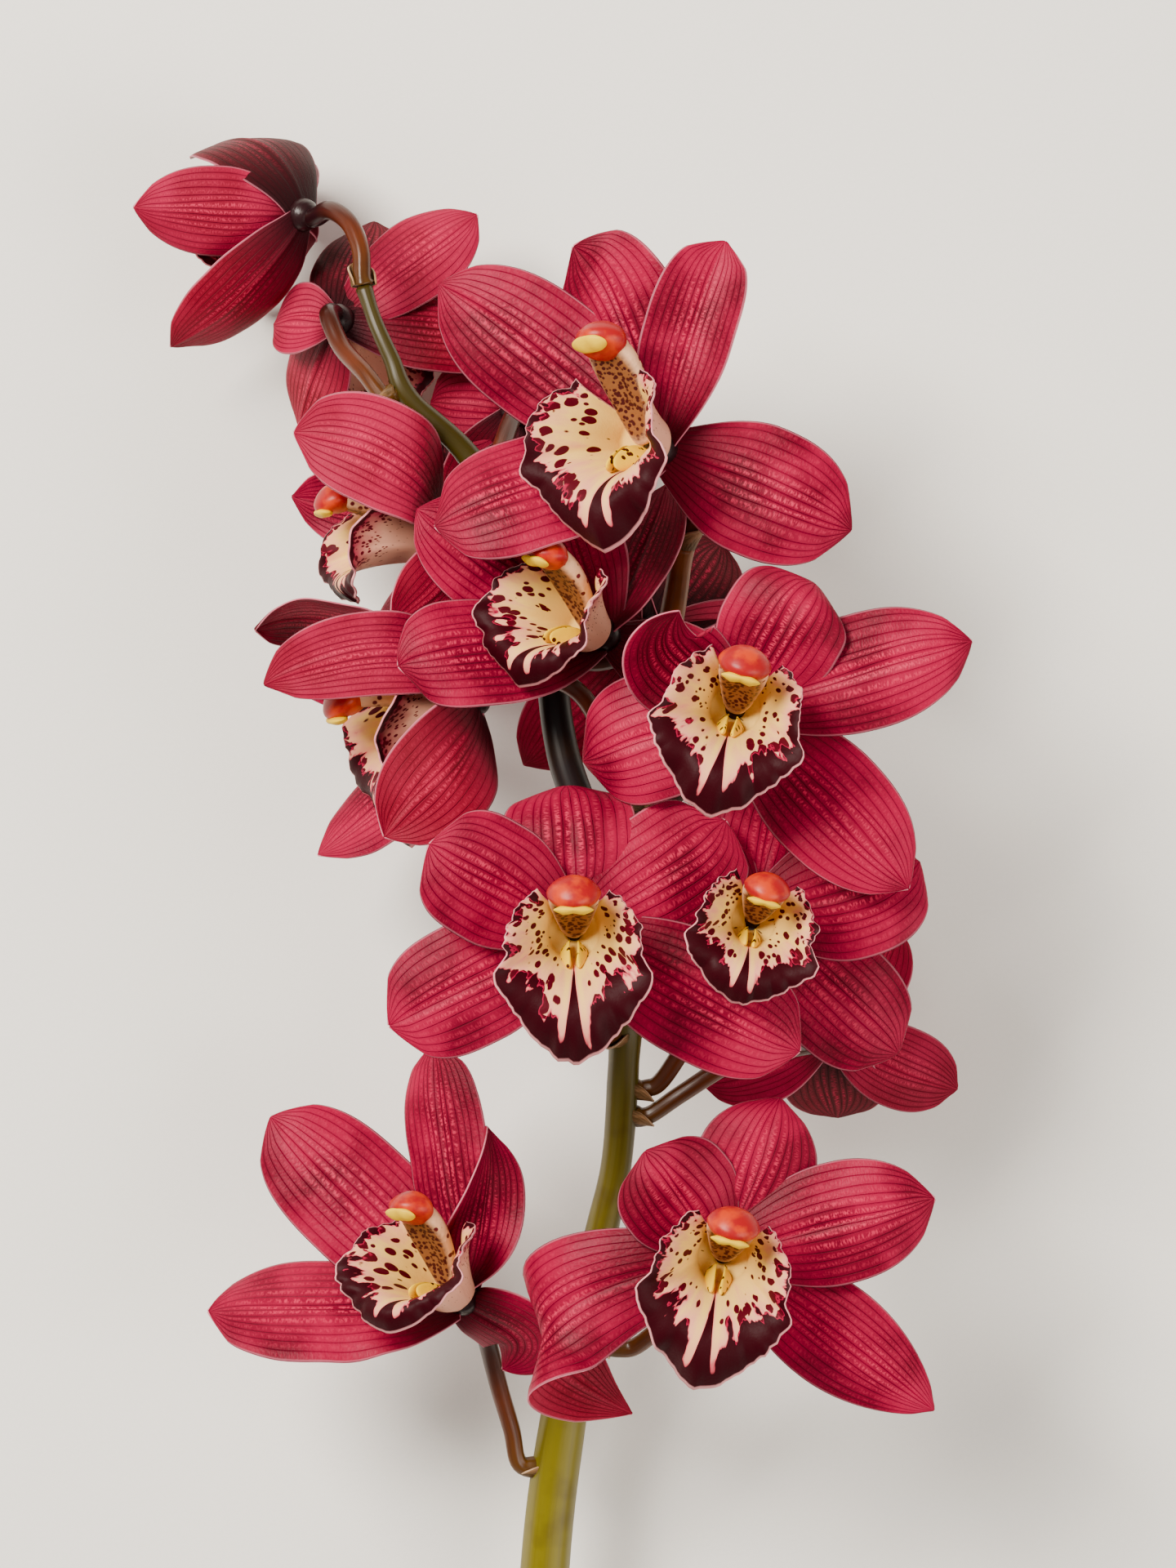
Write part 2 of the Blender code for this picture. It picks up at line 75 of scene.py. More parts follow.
def flower(name, centre, face, top, tepals, pedicel, size=1.0, droop=1.0, lip_tilt=0.0,
           column_tilt=0.0, lip_face=None):
    """A flower: its centre, the way it faces, the way its dorsal side points, its parts.

    lip_face is the way the lip's mouth looks, where it isn't the way the flower faces.
    """
    return Flower(name, Vector(centre), Vector(face), Vector(top), tepals, pedicel,
                  size, droop, lip_tilt, column_tilt, Vector(lip_face or face))


# The main stem from its cut end to its tip: x, y, z and radius
STEM = (
    (-32, -452, 6.8, 6.6), (-27, -400, 8, 6.6), (-21, -340, 12, 6.6), (-15, -280, 19, 6.6),
    (-11, -202, 30, 6.5), (-6.3, -163, 36, 6.1), (-1, -134, 41, 5.0), (3.9, -112, 46, 4.3),
    (7.4, -95, 49, 4.0), (9.1, -70, 53, 4.0), (10, -44, 57, 4.2), (5.5, -24, 59, 4.6),
    (-4, 0, 59.5, 4.3), (-7.5, 14, 59, 4.1), (-10, 34, 58.5, 3.9), (-15, 56, 61, 3.6),
    (-29.5, 81.5, 64, 3.2), (-44.5, 96, 68, 2.8), (-49, 106, 68, 2.5), (-53, 115, 67, 2.3),
    (-56, 124, 64, 2.2),
)
# The side branch that carries the uppermost front flower
BRANCH = (
    (9.8, -50, 56, 3.4), (13.5, -28, 59, 3.4), (13.8, -5, 60, 3.3), (18, 24, 64, 3.2),
    (22, 48, 68, 3.2), (23.5, 59, 71, 3.3),
)

FLOWERS = (
    flower("flower_01", (-73, 145, 42), (-0.70, 0.20, -0.68), (0.1, 1.0, 0.1), dict(
        dorsal_sepal=tepal((-28, 18, -24), 30, near=-6, far=-6, out=14, cup=0.2),
        left_petal=tepal((-42, 1, 8), 23, near=-3, far=-4, cup=0.2),
        right_petal=tepal((-10, 10, -38), 20, near=-3, far=-4, out=8),
        left_sepal=tepal((-34, -33, -8), 24, near=-7, far=-8, cup=0.15),
        right_sepal=tepal((-17, -18, -36), 18, near=-5, far=-4)),
        size=0.82, droop=0.5, lip_tilt=-12,
        pedicel=((-56.5, 127, 64), (-57, 134, 62), (-60, 141, 58), (-65, 145, 52))),
    flower("flower_02", (-63.5, 118, 40), (0.25, -0.30, -0.90), (-0.35, 0.94, 0.0), dict(
        dorsal_sepal=tepal((8, 28, -24), 24, near=-3, far=-3, cup=0.15),
        left_petal=tepal((-17, 0, -10), 20, near=-3, far=-3),
        right_petal=tepal((35, 28, -8), 24, near=-3, far=-4, cup=0.15),
        left_sepal=tepal((-11.5, -25.5, -22), 22, near=-3, far=-3, cup=0.15),
        right_sepal=tepal((49, -5, -4), 23, near=-3, far=-4, cup=0.15)),
        size=0.85, droop=0.7, lip_tilt=-12,
        pedicel=((-50.8, 96.5, 67.5), (-56, 103, 63), (-62, 110, 56), (-65.5, 118, 51))),
    flower("flower_03", (17.5, 82.5, 88), (-0.60, 0.30, 0.74), (0.03, 0.97, -0.2), dict(
        dorsal_sepal=tepal((-21, 50, -5), 32, near=-2, far=5, lead=(2, 0, 0), bend=(9, 3, 0),
                           blunt=0.8),
        left_petal=tepal((-54.4, 41.5, -12), 33, near=-4, far=4, bend=(0, 2, 0)),
        right_petal=tepal((16, 50, 6), 23, near=1, far=3, roll=30, cup=0.25, blunt=1),
        left_sepal=tepal((-55, -19.5, 3), 32, near=-2, far=4, lead=(0, 1, 1), bend=(0, 1, 8),
                         roll=-8, blunt=0.8),
        right_sepal=tepal((47, -20.5, 4), 33, near=0, far=5, blunt=0.5)),
        size=1.06, lip_tilt=-5, column_tilt=24, lip_face=(-0.48, 0, 0.88),
        pedicel=((24.3, 60.8, 72), (26.8, 68, 76), (25.5, 76, 81))),
    flower("flower_04", (-37, 63, 56), (-0.95, 0.02, 0.28), (0.0, 1.0, 0.0), dict(
        dorsal_sepal=tepal((-35, 26, 0), 23, near=-6, far=-5, out=2, cup=0.1),
        left_petal=tepal((-39, 11, -26), 22, near=-8, far=-4, out=4, cup=0.2),
        right_petal=tepal((-36, 24, 20), 27, near=-10, far=-6, out=4, lead=(1, 2, 20),
                          bend=(1, 3, 11), cup=-0.1, blunt=0.6, aim=(0, 0, 1)),
        left_sepal=tepal((-19, -25, -26), 22, near=-9, far=-6),
        right_sepal=tepal((-12, -24, 16), 22, near=-12, far=-6, lead=(0, 0, 4), cup=0.05,
                          aim=(0, 0, 1))),
        size=0.9, droop=0.15, lip_tilt=-8, column_tilt=3,
        pedicel=((-20.4, 57.5, 56.5), (-22.5, 59.8, 55.3), (-27, 62, 54))),
    flower("flower_05", (3.6, 37, 75), (-0.58, 0.45, 0.68), (0.38, 0.85, -0.2), dict(
        dorsal_sepal=tepal((-12, 40, -5), 26, near=-2),
        left_petal=tepal((-46, 31, 2), 28, near=-8.5, far=5),
        right_petal=tepal((16, 38, -8), 25, near=-3, bend=(5, 0, 0), cup=0.1),
        left_sepal=tepal((-50, -8, 11), 29, near=-4, far=6, bend=(0, 1, 7), twist=-39,
                         blunt=0.8),
        right_sepal=tepal((34, -14, 0), 24, near=-2)),
        size=0.92, droop=0.85, lip_tilt=-14, column_tilt=2, lip_face=(-0.55, 0.05, 0.84),
        pedicel=((-4.6, 32, 63), (2, 30.5, 64), (8.3, 32.3, 67.8))),
    flower("flower_06", (-29, 21, 62), (-0.93, -0.26, 0.25), (-0.15, 0.95, 0.1), dict(
        dorsal_sepal=tepal((-55, 18, -5), 26, near=-4, far=2, out=16, cup=0.2),
        left_petal=tepal((-49, 7, -26), 22, near=-10, far=-4, out=4, cup=0.2),
        right_petal=tepal((-51, 3.5, 19), 21, near=-12, far=-4, out=5, lead=(0, 6, 16),
                          bend=(0, 5, 7), cup=-0.1, blunt=0.4, aim=(0, 0, 1)),
        left_sepal=tepal((-40, -39, -20), 25, near=-10, far=-6),
        right_sepal=tepal((-21, -34, 28), 29, near=-8, far=-4, lead=(1, 0, 14),
                          bend=(1, 0, 12), cup=-0.15, aim=(0, 0, 1))),
        size=1.05, droop=0.85, lip_tilt=-4, column_tilt=2,
        pedicel=((9.6, -5, 63.2), (7, 4, 68), (0, 20, 75), (-8, 26, 76), (-16, 26, 69.5),
                 (-20.5, 23.6, 61.5))),
    flower("flower_07", (36, 18.5, 98), (-0.02, 0.10, 0.99), (0.25, 0.97, 0.0), dict(
        dorsal_sepal=tepal((19, 30, 2), 31, near=0, far=12, bend=(0, 4, 0), blunt=1),
        left_petal=tepal((-14, 23, 14), 26, near=-3, far=0, bend=(-16, -6, 0), cup=0.1),
        right_petal=tepal((57, 16, 4), 29, far=6),
        left_sepal=tepal((-37, -13, -12), 32, near=2, far=10, blunt=0.8),
        right_sepal=tepal((42, -44, 2), 30, far=8)),
        droop=0.9, lip_tilt=-8,
        pedicel=((18.2, -5, 62.2), (24, -1, 66), (31, 8, 76), (35, 15, 86))),
    flower("flower_08", (-3.4, -35.5, 100), (0.0, 0.08, 1.0), (0.0, 1.0, 0.0), dict(
        dorsal_sepal=tepal((-2, 35, -18), 33, near=2, far=14, bend=(0, 6, 0), blunt=1.4),
        left_petal=tepal((-35, 21, 8), 31, blunt=1),
        right_petal=tepal((37, 26.5, -9), 32, far=2, bend=(3, -3, 0), blunt=1.4),
        left_sepal=tepal((-45, -23.5, -6), 31, far=6, blunt=1),
        right_sepal=tepal((55, -29.5, 0), 31, far=7, blunt=0.8)),
        pedicel=((6.5, -63, 57.5), (3, -62, 64), (-1, -52, 76), (-3, -40, 86))),
    flower("flower_09", (40.5, -32.5, 88), (0.03, 0.05, 1.0), (0.26, 0.96, 0.0), dict(
        dorsal_sepal=tepal((8, 37.5, -8), 28),
        left_petal=tepal((-24, 21.5, -6), 26),
        right_petal=tepal((41, 13.5, 0), 33, far=6, bend=(3, -4, 0), blunt=0.5),
        left_sepal=tepal((-16, -30.5, -10), 24),
        right_sepal=tepal((36, -34, -8), 30, far=4, blunt=1)),
        size=0.88, droop=0.55, lip_tilt=-10,
        pedicel=((14.5, -77, 51), (20, -73, 53), (33, -50, 62), (39, -36, 76))),
    flower("flower_10", (62, -64.5, 36), (0.10, 0.10, -1.0), (0.05, -1.0, 0.0), dict(
        dorsal_sepal=tepal((3, -22, -20), 26, near=-3, far=-3),
        left_petal=tepal((33, -14, -8), 22, near=-3, far=-3),
        right_petal=tepal((-33, -12, -6), 22, near=-3, far=-3),
        left_sepal=tepal((17, 29, -4), 22, near=-3, far=-3),
        right_sepal=tepal((-18, 26, -22), 24, near=-3, far=-3)),
        pedicel=((15, -84, 50), (24, -78, 52), (37, -70, 53), (50, -67, 52), (59, -65.5, 48))),
    flower("flower_11", (-31.6, -128.5, 64), (-0.50, 0.60, 0.62), (0.2, 0.95, -0.3), dict(
        dorsal_sepal=tepal((-7, 63, -10), 24, near=-4, far=5, blunt=0.5),
        left_petal=tepal((-49, 44, -18), 32, near=-11, far=4, blunt=0.5),
        right_petal=tepal((6, 43, 2), 19, near=-5, far=0, twist=110, cup=0.5, bend=(3, -4, 6)),
        left_sepal=tepal((-64, -4, -6), 32, near=-6, far=4, blunt=0.3),
        right_sepal=tepal((10, -19, -8), 24, near=2, lead=(0, 0, 4), bend=(20, 2, 4))),
        size=0.95, lip_tilt=-22, column_tilt=2, lip_face=(-0.45, 0.2, 0.87),
        pedicel=((-17.4, -174, 35.5), (-19.5, -165, 38), (-22.5, -154, 43), (-25, -143, 49),
                 (-26.6, -134.9, 56.3))),
    flower("flower_12", (33, -114.5, 92), (0.0, 0.08, 1.0), (0.23, 0.97, 0.0), dict(
        dorsal_sepal=tepal((14, 37.5, -4), 30, far=8),
        left_petal=tepal((-19, 25, 4), 30, blunt=0.6),
        right_petal=tepal((51.5, 13.5, 4), 30, far=6),
        left_sepal=tepal((-22, -42, -20), 33, far=0, lead=(-24, 7, 12), bend=(-54, 10, 6),
                         aim=(-1, 0, 0)),
        right_sepal=tepal((51.5, -38.5, 0), 26, far=6, blunt=-0.6)),
        pedicel=((8, -144, 40), (14, -142, 42), (25, -130, 54), (31, -118, 72), (32.5, -115, 82))),
    flower("flower_13", (-18.4, 95.7, 34), (0.0, 0.10, -1.0), (0.3, 0.95, 0.0), dict(
        dorsal_sepal=tepal((5, 32, -26), 24, near=0, far=0),
        left_petal=tepal((-22, 2, -4), 24, near=-3, far=-3),
        right_petal=tepal((34, 8, -22), 24, near=-3, far=-3),
        left_sepal=tepal((-14, -28, -15), 22, near=-6, far=-5),
        right_sepal=tepal((20, -28, -18), 22, near=-6, far=-5)),
        pedicel=((-24.4, 79.5, 61), (-22.5, 83, 56), (-20, 91, 47))),
    flower("flower_14", (16.5, 39, 35), (0.0, 0.05, -1.0), (0.3, 0.95, 0.0), dict(
        dorsal_sepal=tepal((18, 24, -22), 26, near=-3, far=-3),
        left_petal=tepal((-26, 20, -22), 24, near=-3, far=-3),
        right_petal=tepal((38, -6, -20), 24, near=-3, far=-3),
        left_sepal=tepal((-33, -34, -10), 24, near=-3, far=-3),
        right_sepal=tepal((12, -38, -26), 24, near=-3, far=-3)),
        pedicel=((-5, 30, 56), (0, 33, 53), (9, 37, 49), (15, 39, 45))),
)


def smooth(value):
    """Ease from 0 to 1, and stay there."""
    value = min(max(value, 0.0), 1.0)
    return value * value * (3.0 - 2.0 * value)


def lerp(first, second, amount):
    return first + (second - first) * amount


def bezier(points, t):
    """Point on a cubic curve with four control points."""
    a, b, c, d = points
    u = 1.0 - t
    return a * u ** 3 + b * (3 * u * u * t) + c * (3 * u * t * t) + d * t ** 3


def bezier_slope(points, t):
    a, b, c, d = points
    u = 1.0 - t
    return (b - a) * (3 * u * u) + (c - b) * (6 * u * t) + (d - c) * (3 * t * t)


def flower_frame(spec, face):
    """Right, up and forward directions of a part of a flower that faces the given way."""
    forward = face.normalized()
    right = spec.top.cross(forward).normalized()
    return right, forward.cross(right), forward


def blade_outline(t, blunt):
    """Share of the full width along a sepal or petal, from its base to its tip."""
    widest = 0.52
    base = 0.34
    if t < widest:
        return lerp(base, 1.0, sin(0.5 * pi * t / widest) ** 1.1)
    tail = (t - widest) / (1.0 - widest)
    round_tip = max(1.0 - tail ** (2.5 + blunt), 0.0) ** (0.72 - 0.14 * blunt)
    return lerp(round_tip, min(round_tip, (2.8 + 0.7 * blunt) * (1.0 - tail)), 0.65)


def blade_point(spec, name, t, across):
    """Point on the middle surface of one sepal or petal. across runs from -1 to 1."""
    blade = spec.tepals[name]
    forward = spec.face.normalized()
    flat = (blade.tip - forward * blade.tip.dot(forward)).normalized()
    layer = -0.9 if "sepal" in name else 0.5
    base = spec.centre + flat * 1.0 + forward * layer
    tip = spec.centre + blade.tip
    reach = tip - base
    swell = flat * blade.out
    controls = (base, base + reach * 0.3 + forward * blade.near + swell + blade.lead,
                base + reach * 0.68 + forward * blade.far + swell + blade.bend, tip)
    middle = bezier(controls, t)
    along = bezier_slope(controls, min(max(t, 0.02), 0.98)).normalized()
    side = (blade.aim or flat).cross(forward)
    side = Matrix.Rotation(radians(blade.roll + blade.twist * t), 3, along) @ side
    side = (side - along * side.dot(along)).normalized()
    front = side.cross(along)
    half = 0.5 * blade.width * max(blade_outline(t, blade.blunt), 0.015)
    place = middle + side * (across * half)
    keel = -0.5 * exp(-(across / 0.09) ** 2) * sin(pi * t) ** 0.5
    ripple = 1.1 * across ** 2 * noise.noise(place / 11.0) * smooth(3.0 * t)
    swelling = 0.9 * noise.noise(place / 21.0) * smooth(3.0 * t)
    return place + front * (blade.cup * half * across * across + keel + ripple + swelling)


def lip_point(spec, around, s):
    """Point on the lip's middle surface. around is the angle from its tip, s goes outwards.

    The rings that make the lip's tube lie across the way its mouth looks, and follow each
    other the way the flower faces. Below s = 0 the tube narrows to the foot of the column.
    """
    right, up, mouth = flower_frame(spec, spec.lip_face)
    angle = abs(around)
    radius = lerp(27.5, 21.4, smooth(angle / 50.0))
    radius += 1.8 * max(1.0 - angle / 20.0, 0.0) ** 1.4
    notch = exp(-((angle - 74.0) / 6.5) ** 2)
    side_lobe = smooth((angle - 66.0) / 20.0)
    radius = lerp(radius, 16.4 - min(max((angle - 82.0) / 68.0, 0.0), 1.0), side_lobe)
    radius -= 2.0 * notch
    middle_lobe = cos(radians(min(angle, 84.0)) * 90.0 / 84.0) ** 2
    radius = lerp(radius, 16.0 + (radius - 16.0) * spec.droop, middle_lobe)
    rim = lerp(29.5, LIP_DEPTH, middle_lobe)
    rim -= 9.0 * smooth((angle - 95.0) / 40.0)
    root = max(-s, 0.0) / LIP_ROOT
    s = max(s, 0.0)
    rise = 1.0 - (1.0 - s) ** 1.5
    depth = LIP_START + (LIP_DEPTH - LIP_START) * rise - 3.4 * root
    crest = (rim - LIP_DEPTH) * rise + 10.0 * middle_lobe * sin(pi * s ** 1.1)
    out = LIP_ROOT_RADIUS + (radius - LIP_ROOT_RADIUS) * s ** 1.35 - 4.4 * root
    edge = smooth((s - 0.62) / 0.38)
    seed = spec.centre * 0.37
    frill = noise.noise(Vector((around / 15.0, seed.x, seed.y)))
    fine = noise.noise(Vector((around / 5.5, seed.y, seed.z)))
    crest += edge * (2.6 * frill + 0.7 * fine) * (0.45 + 0.55 * middle_lobe)
    out += edge * (0.9 * fine + 0.7 * frill)
    drop = lerp(-1.0, -4.0, smooth(s))
    local = Vector((out * sin(radians(around)), drop - out * cos(radians(around)), depth))
    hinge = Vector((0.0, -5.0, LIP_START))
    tilt = Matrix.Rotation(radians(spec.lip_tilt), 3, "X")
    local = tilt @ (local - hinge) * spec.size + hinge
    return (spec.centre + right * local.x + up * local.y + spec.face.normalized() * local.z
            + mouth * (crest * spec.size))


def through(points, steps):
    """A smooth run of points through the given ones."""
    run = []
    for i in range(len(points) - 1):
        before = points[max(i - 1, 0)]
        after = points[min(i + 2, len(points) - 1)]
        start, end = points[i], points[i + 1]
        slope_in = (end - before) * (0.5 if i > 0 else 1.0)
        slope_out = (after - start) * (0.5 if i + 2 < len(points) else 1.0)
        for k in range(steps):
            u = k / steps
            run.append(start * (2 * u ** 3 - 3 * u ** 2 + 1) + slope_in * (u ** 3 - 2 * u ** 2 + u)
                       + end * (3 * u ** 2 - 2 * u ** 3) + slope_out * (u ** 3 - u ** 2))
    run.append(points[-1])
    return run


def piece(name, shape, materials):
    """Turns a bmesh in metres into a finished piece that rides on the model."""
    mesh = bpy.data.meshes.new(name)
    shape.to_mesh(mesh)
    shape.free()
    mesh.shade_smooth()
    for material in materials:
        mesh.materials.append(material)
    obj = bpy.data.objects.new(name, mesh)
    bpy.context.scene.collection.objects.link(obj)
    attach(obj, "root")
    return obj


def in_metres(point):
    """A place of the drawing frame in metres. What would sink into the surface rests on it."""
    return (Vector((point.x, point.y, max(point.z, 0.5))) + ORIGIN) * MM


def placed_grid(rows, columns, place, seed=0.0, thinning=None):
    """A grid with a UV map, placed by a function of (row share, column from -1 to 1)."""
    shape = bmesh.new()
    bmesh.ops.create_grid(shape, x_segments=rows, y_segments=columns, size=1.0)
    seeds = shape.verts.layers.float.new("seed")
    for vert in shape.verts:
        vert[seeds] = seed
    layer = shape.loops.layers.uv.new("along_and_across")
    for face in shape.faces:
        for loop in face.loops:
            co = loop.vert.co
            loop[layer].uv = (0.5 * (co.x + 1.0), 0.5 * (co.y + 1.0))
    if thinning:
        weights = shape.verts.layers.deform.new("body")
        for vert in shape.verts:
            vert[weights][0] = thinning(0.5 * (vert.co.x + 1.0), vert.co.y)
    for vert in shape.verts:
        vert.co = in_metres(place(0.5 * (vert.co.x + 1.0), vert.co.y))
    return shape


def walled(obj, thickness, edge_share):
    """Gives an open sheet its thickness. Slot 0 is its first side, 1 the other, 2 the rim."""
    obj.vertex_groups.new(name="body")
    wall = obj.modifiers.new("wall", "SOLIDIFY")
    wall.thickness = thickness * MM
    wall.offset = 0.0
    wall.vertex_group = "body"
    wall.thickness_vertex_group = edge_share
    wall.material_offset = 1
    wall.material_offset_rim = 2
    return obj


def make_tepal(spec, name, finishes, rows=44, columns=38):
    """One sepal or petal: a thin sheet, thinner still at its margin."""
    seed = spec.centre.x + 10.0 * list(spec.tepals).index(name)

    def place(share, across):
        spot = Vector((seed, 2.2 * share, 3.5 * across))
        sway = 0.09 * noise.noise(spot) * (1.0 - across * across)
        return blade_point(spec, name, 1.0 - (1.0 - share) ** 1.5, across + sway)

    def thinning(share, across):
        return 1.0 - max(smooth((abs(across) - 0.8) / 0.2), smooth((share - 0.93) / 0.07))

    shape = placed_grid(rows, columns, place, seed, thinning)
    bmesh.ops.reverse_faces(shape, faces=shape.faces)
    obj = piece(f"{spec.name}_{name}", shape, finishes)
    return walled(obj, TEPAL_THICK, 0.45)


def make_lip(spec, finishes, rows=38, columns=116):
    """The lip: a trumpet round the column with a ruffled lower lobe."""
    def place(share, across):
        return lip_point(spec, LIP_REACH * across, lerp(-LIP_ROOT, 1.0, share))

    def thinning(share, across):
        return 1.0 - smooth((share - 0.85) / 0.15)

    shape = placed_grid(rows, columns, place, spec.centre.x, thinning)
    obj = piece(spec.name + "_lip_sheet", shape, finishes)
    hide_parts(spec.name + "_lip")
    return walled(obj, LIP_THICK, 0.6)


def round_piece(name, place, materials, around=32, along=24):
    """A closed rounded piece: a sphere whose points a function of (x, y, z) places."""
    shape = bmesh.new()
    bmesh.ops.create_uvsphere(shape, u_segments=around, v_segments=along, radius=1.0)
    layer = shape.loops.layers.uv.new("along_and_across")
    for face in shape.faces:
        for loop in face.loops:
            co = loop.vert.co
            loop[layer].uv = (0.5 * (co.y + 1.0), 0.5 * (co.z + 1.0))
    for vert in shape.verts:
        vert.co = in_metres(place(vert.co.x, vert.co.y, vert.co.z))
    return piece(name, shape, materials)


def column_place(spec, x, y, z):
    """Point on the column: an arching body, domed above and hollowed below."""
    t = 0.5 * (z + 1.0)
    swell = (x * x + y * y) ** 0.5
    fullness = swell ** 0.35 if swell > 0 else 0.0
    turn_x, turn_y = (x / swell, y / swell) if swell > 1e-6 else (0.0, 0.0)
    width = lerp(4.2, 6.3, smooth(1.3 * t))
    height = lerp(3.8, 4.2, smooth(t))
    below = max(-turn_y, 0.0)
    hollow = 0.5 * below ** 2 * (1.0 - turn_x ** 2) * smooth(3.0 * t)
    rise = COLUMN_RISE * sin(0.5 * pi * t)
    local = Vector((turn_x * width * fullness,
                    rise + turn_y * height * fullness * (1.0 - hollow), COLUMN_REACH * 0.9 * t))
    return column_frame(spec, local)


def column_frame(spec, local):
    """A place in the drawing frame from one on the tilted column."""
    tilt = Matrix.Rotation(radians(-spec.column_tilt), 3, "X")
    local = tilt @ local * spec.size + Vector((0.0, 0.0, COLUMN_START))
    right, up, forward = flower_frame(spec, spec.face)
    return spec.centre + right * local.x + up * local.y + forward * local.z


def make_column(spec, finishes):
    """The column with its anther cap and the yellow pollen masses below the cap."""
    body = round_piece(spec.name + "_column_body", lambda x, y, z: column_place(spec, x, y, z),
                       [finishes["column"]])
    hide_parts(spec.name + "_column")

    def cap_place(x, y, z):
        """A helmet: domed above, nearly flat below, its front edge drawn down a little."""
        lower = max(-y, 0.0)
        upper = max(y, 0.0)
        front = max(z, 0.0)
        return column_frame(spec, Vector((
            6.5 * x * (1.0 - 0.14 * upper - 0.12 * front),
            COLUMN_RISE + 0.0 + 4.2 * upper - 4.2 * lower - 1.4 * front * (1.0 - upper),
            COLUMN_REACH - 3.4 + 5.2 * z * (1.0 - 0.2 * y))))

    round_piece(spec.name + "_anther_cap", cap_place, [finishes["cap"]])

    def pollen_place(x, y, z):
        """A yellow cushion with two lobes that shows under the cap's front edge."""
        lobes = 0.5 * (1.0 - abs(2.0 * abs(x) - 1.0))
        return column_frame(spec, Vector((
            4.8 * x, COLUMN_RISE - 4.3 + (0.8 + 1.2 * lobes) * y, COLUMN_REACH - 0.9 + 2.5 * z)))

    round_piece(spec.name + "_pollen", pollen_place, [finishes["pollen"]], 24, 16)


def make_keels(spec, finish):
    """The two yellow ridges on the floor of the lip's throat, close together at the front."""
    turned = 1.0 if spec.lip_face != spec.face else 0.0
    for side, name in ((-1, "left"), (1, "right")):
        def place(x, y, z, side=side):
            t = 0.5 * (z + 1.0)
            s = lerp(-0.06, 0.24, t) + 0.08 * turned
            around = side * lerp(32.0, 10.0, smooth(t))
            here = lip_point(spec, around, s)
            outward = (lip_point(spec, around, s + 0.01) - here).normalized()
            sideways = (lip_point(spec, around + 2.0, s) - here).normalized()
            inward = outward.cross(sideways).normalized()
            height = lerp(5.4, 3.2, smooth(t)) * (1.0 - 0.2 * x * x) + 2.6 * turned * t
            width = lerp(0.8, 1.2, smooth(t))
            return here + (inward * (height * (y * 0.5 + 0.5) - 0.3)
                           + sideways * (width * x * (1.0 - 0.3 * y))) * spec.size

        round_piece(f"{spec.name}_{name}_keel", place, [finish], 20, 20)


def tube(name, points, radius, materials, around=28, grooves=0, depth=0.0):
    """A closed stalk through the points. radius is a function of the share of its length.

    It has lengthwise grooves, whose depth is in millimetres and fades along the stalk.
    """
    count = len(points) - 1
    slopes = [(points[min(i + 1, count)] - points[max(i - 1, 0)]).normalized()
              for i in range(count + 1)]
    sides = [slopes[0].orthogonal().normalized()]
    for slope in slopes[1:]:
        side = sides[-1] - slope * sides[-1].dot(slope)
        sides.append(side.normalized())

    def place(share, across):
        i = round(share * count)
        angle = pi * across
        groove = depth * max(1.0 - 1.5 * share, 0.12) * (0.5 - 0.5 * cos(grooves * angle))
        wide = radius(share) - groove
        side = sides[i]
        return points[i] + (side * cos(angle) + slopes[i].cross(side) * sin(angle)) * wide

    shape = placed_grid(count, around, place)
    bmesh.ops.remove_doubles(shape, verts=shape.verts, dist=0.000001)
    rims = [edge for edge in shape.edges if edge.is_boundary]
    bmesh.ops.holes_fill(shape, edges=rims)
    bmesh.ops.recalc_face_normals(shape, faces=shape.faces)
    return piece(name, shape, materials)


def make_bract(name, root, direction, under, radius, length, finishes, wrap=0.62):
    """A scale leaf that clasps a stalk at its foot and ends in a point."""
    axis = direction.normalized()
    under = (under - axis * under.dot(axis)).normalized()
    beside = axis.cross(under)

    def place(share, across):
        angle = pi * wrap * across * max(1.0 - share ** 1.7, 0.03) ** 0.6
        wide = radius + 0.5 * share ** 2 + 0.2 * across * across
        return root + axis * (length * share) + (under * cos(angle) + beside * sin(angle)) * wide

    shape = placed_grid(14, 16, place, length)
    bmesh.ops.reverse_faces(shape, faces=shape.faces)
    obj = piece(name, shape, finishes)
    wall = obj.modifiers.new("wall", "SOLIDIFY")
    wall.thickness = 0.5 * MM
    wall.offset = 0.0
    wall.material_offset_rim = 1
    return obj


def hex_colour(value):
    """An sRGB hex value such as 0xA3203C as linear red, green, blue and alpha."""
    parts = [(value >> shift & 255) / 255.0 for shift in (16, 8, 0)]
    return (*(p / 12.92 if p <= 0.04045 else ((p + 0.055) / 1.055) ** 2.4 for p in parts), 1.0)


def add(tree, kind, inputs, output=0, stops=(), **settings):
    """Adds a node with its settings, fills or links its inputs and returns one output.

    stops are the points of a curve: share of the way, and the value there.
    """
    node = tree.nodes.new(kind)
    for key, value in settings.items():
        setattr(node, key, value)
    for key, value in inputs.items():
        if isinstance(value, bpy.types.NodeSocket):
            tree.links.new(value, node.inputs[key])
        else:
            node.inputs[key].default_value = value
    if stops:
        curve = node.mapping.curves[0]
        curve.points[0].location, curve.points[1].location = stops[0], stops[-1]
        for stop in stops[1:-1]:
            curve.points.new(*stop)
        node.mapping.update()
    return node.outputs[output]


def finish(name, roughness, **values):
    """A new material and its shader, with the values that are the same all over."""
    material = bpy.data.materials.new(name)
    material.use_nodes = True
    shader = material.node_tree.nodes["Principled BSDF"]
    shader.inputs["Roughness"].default_value = roughness
    for key, value in values.items():
        shader.inputs[key.replace("_", " ")].default_value = value
    return material, material.node_tree, shader


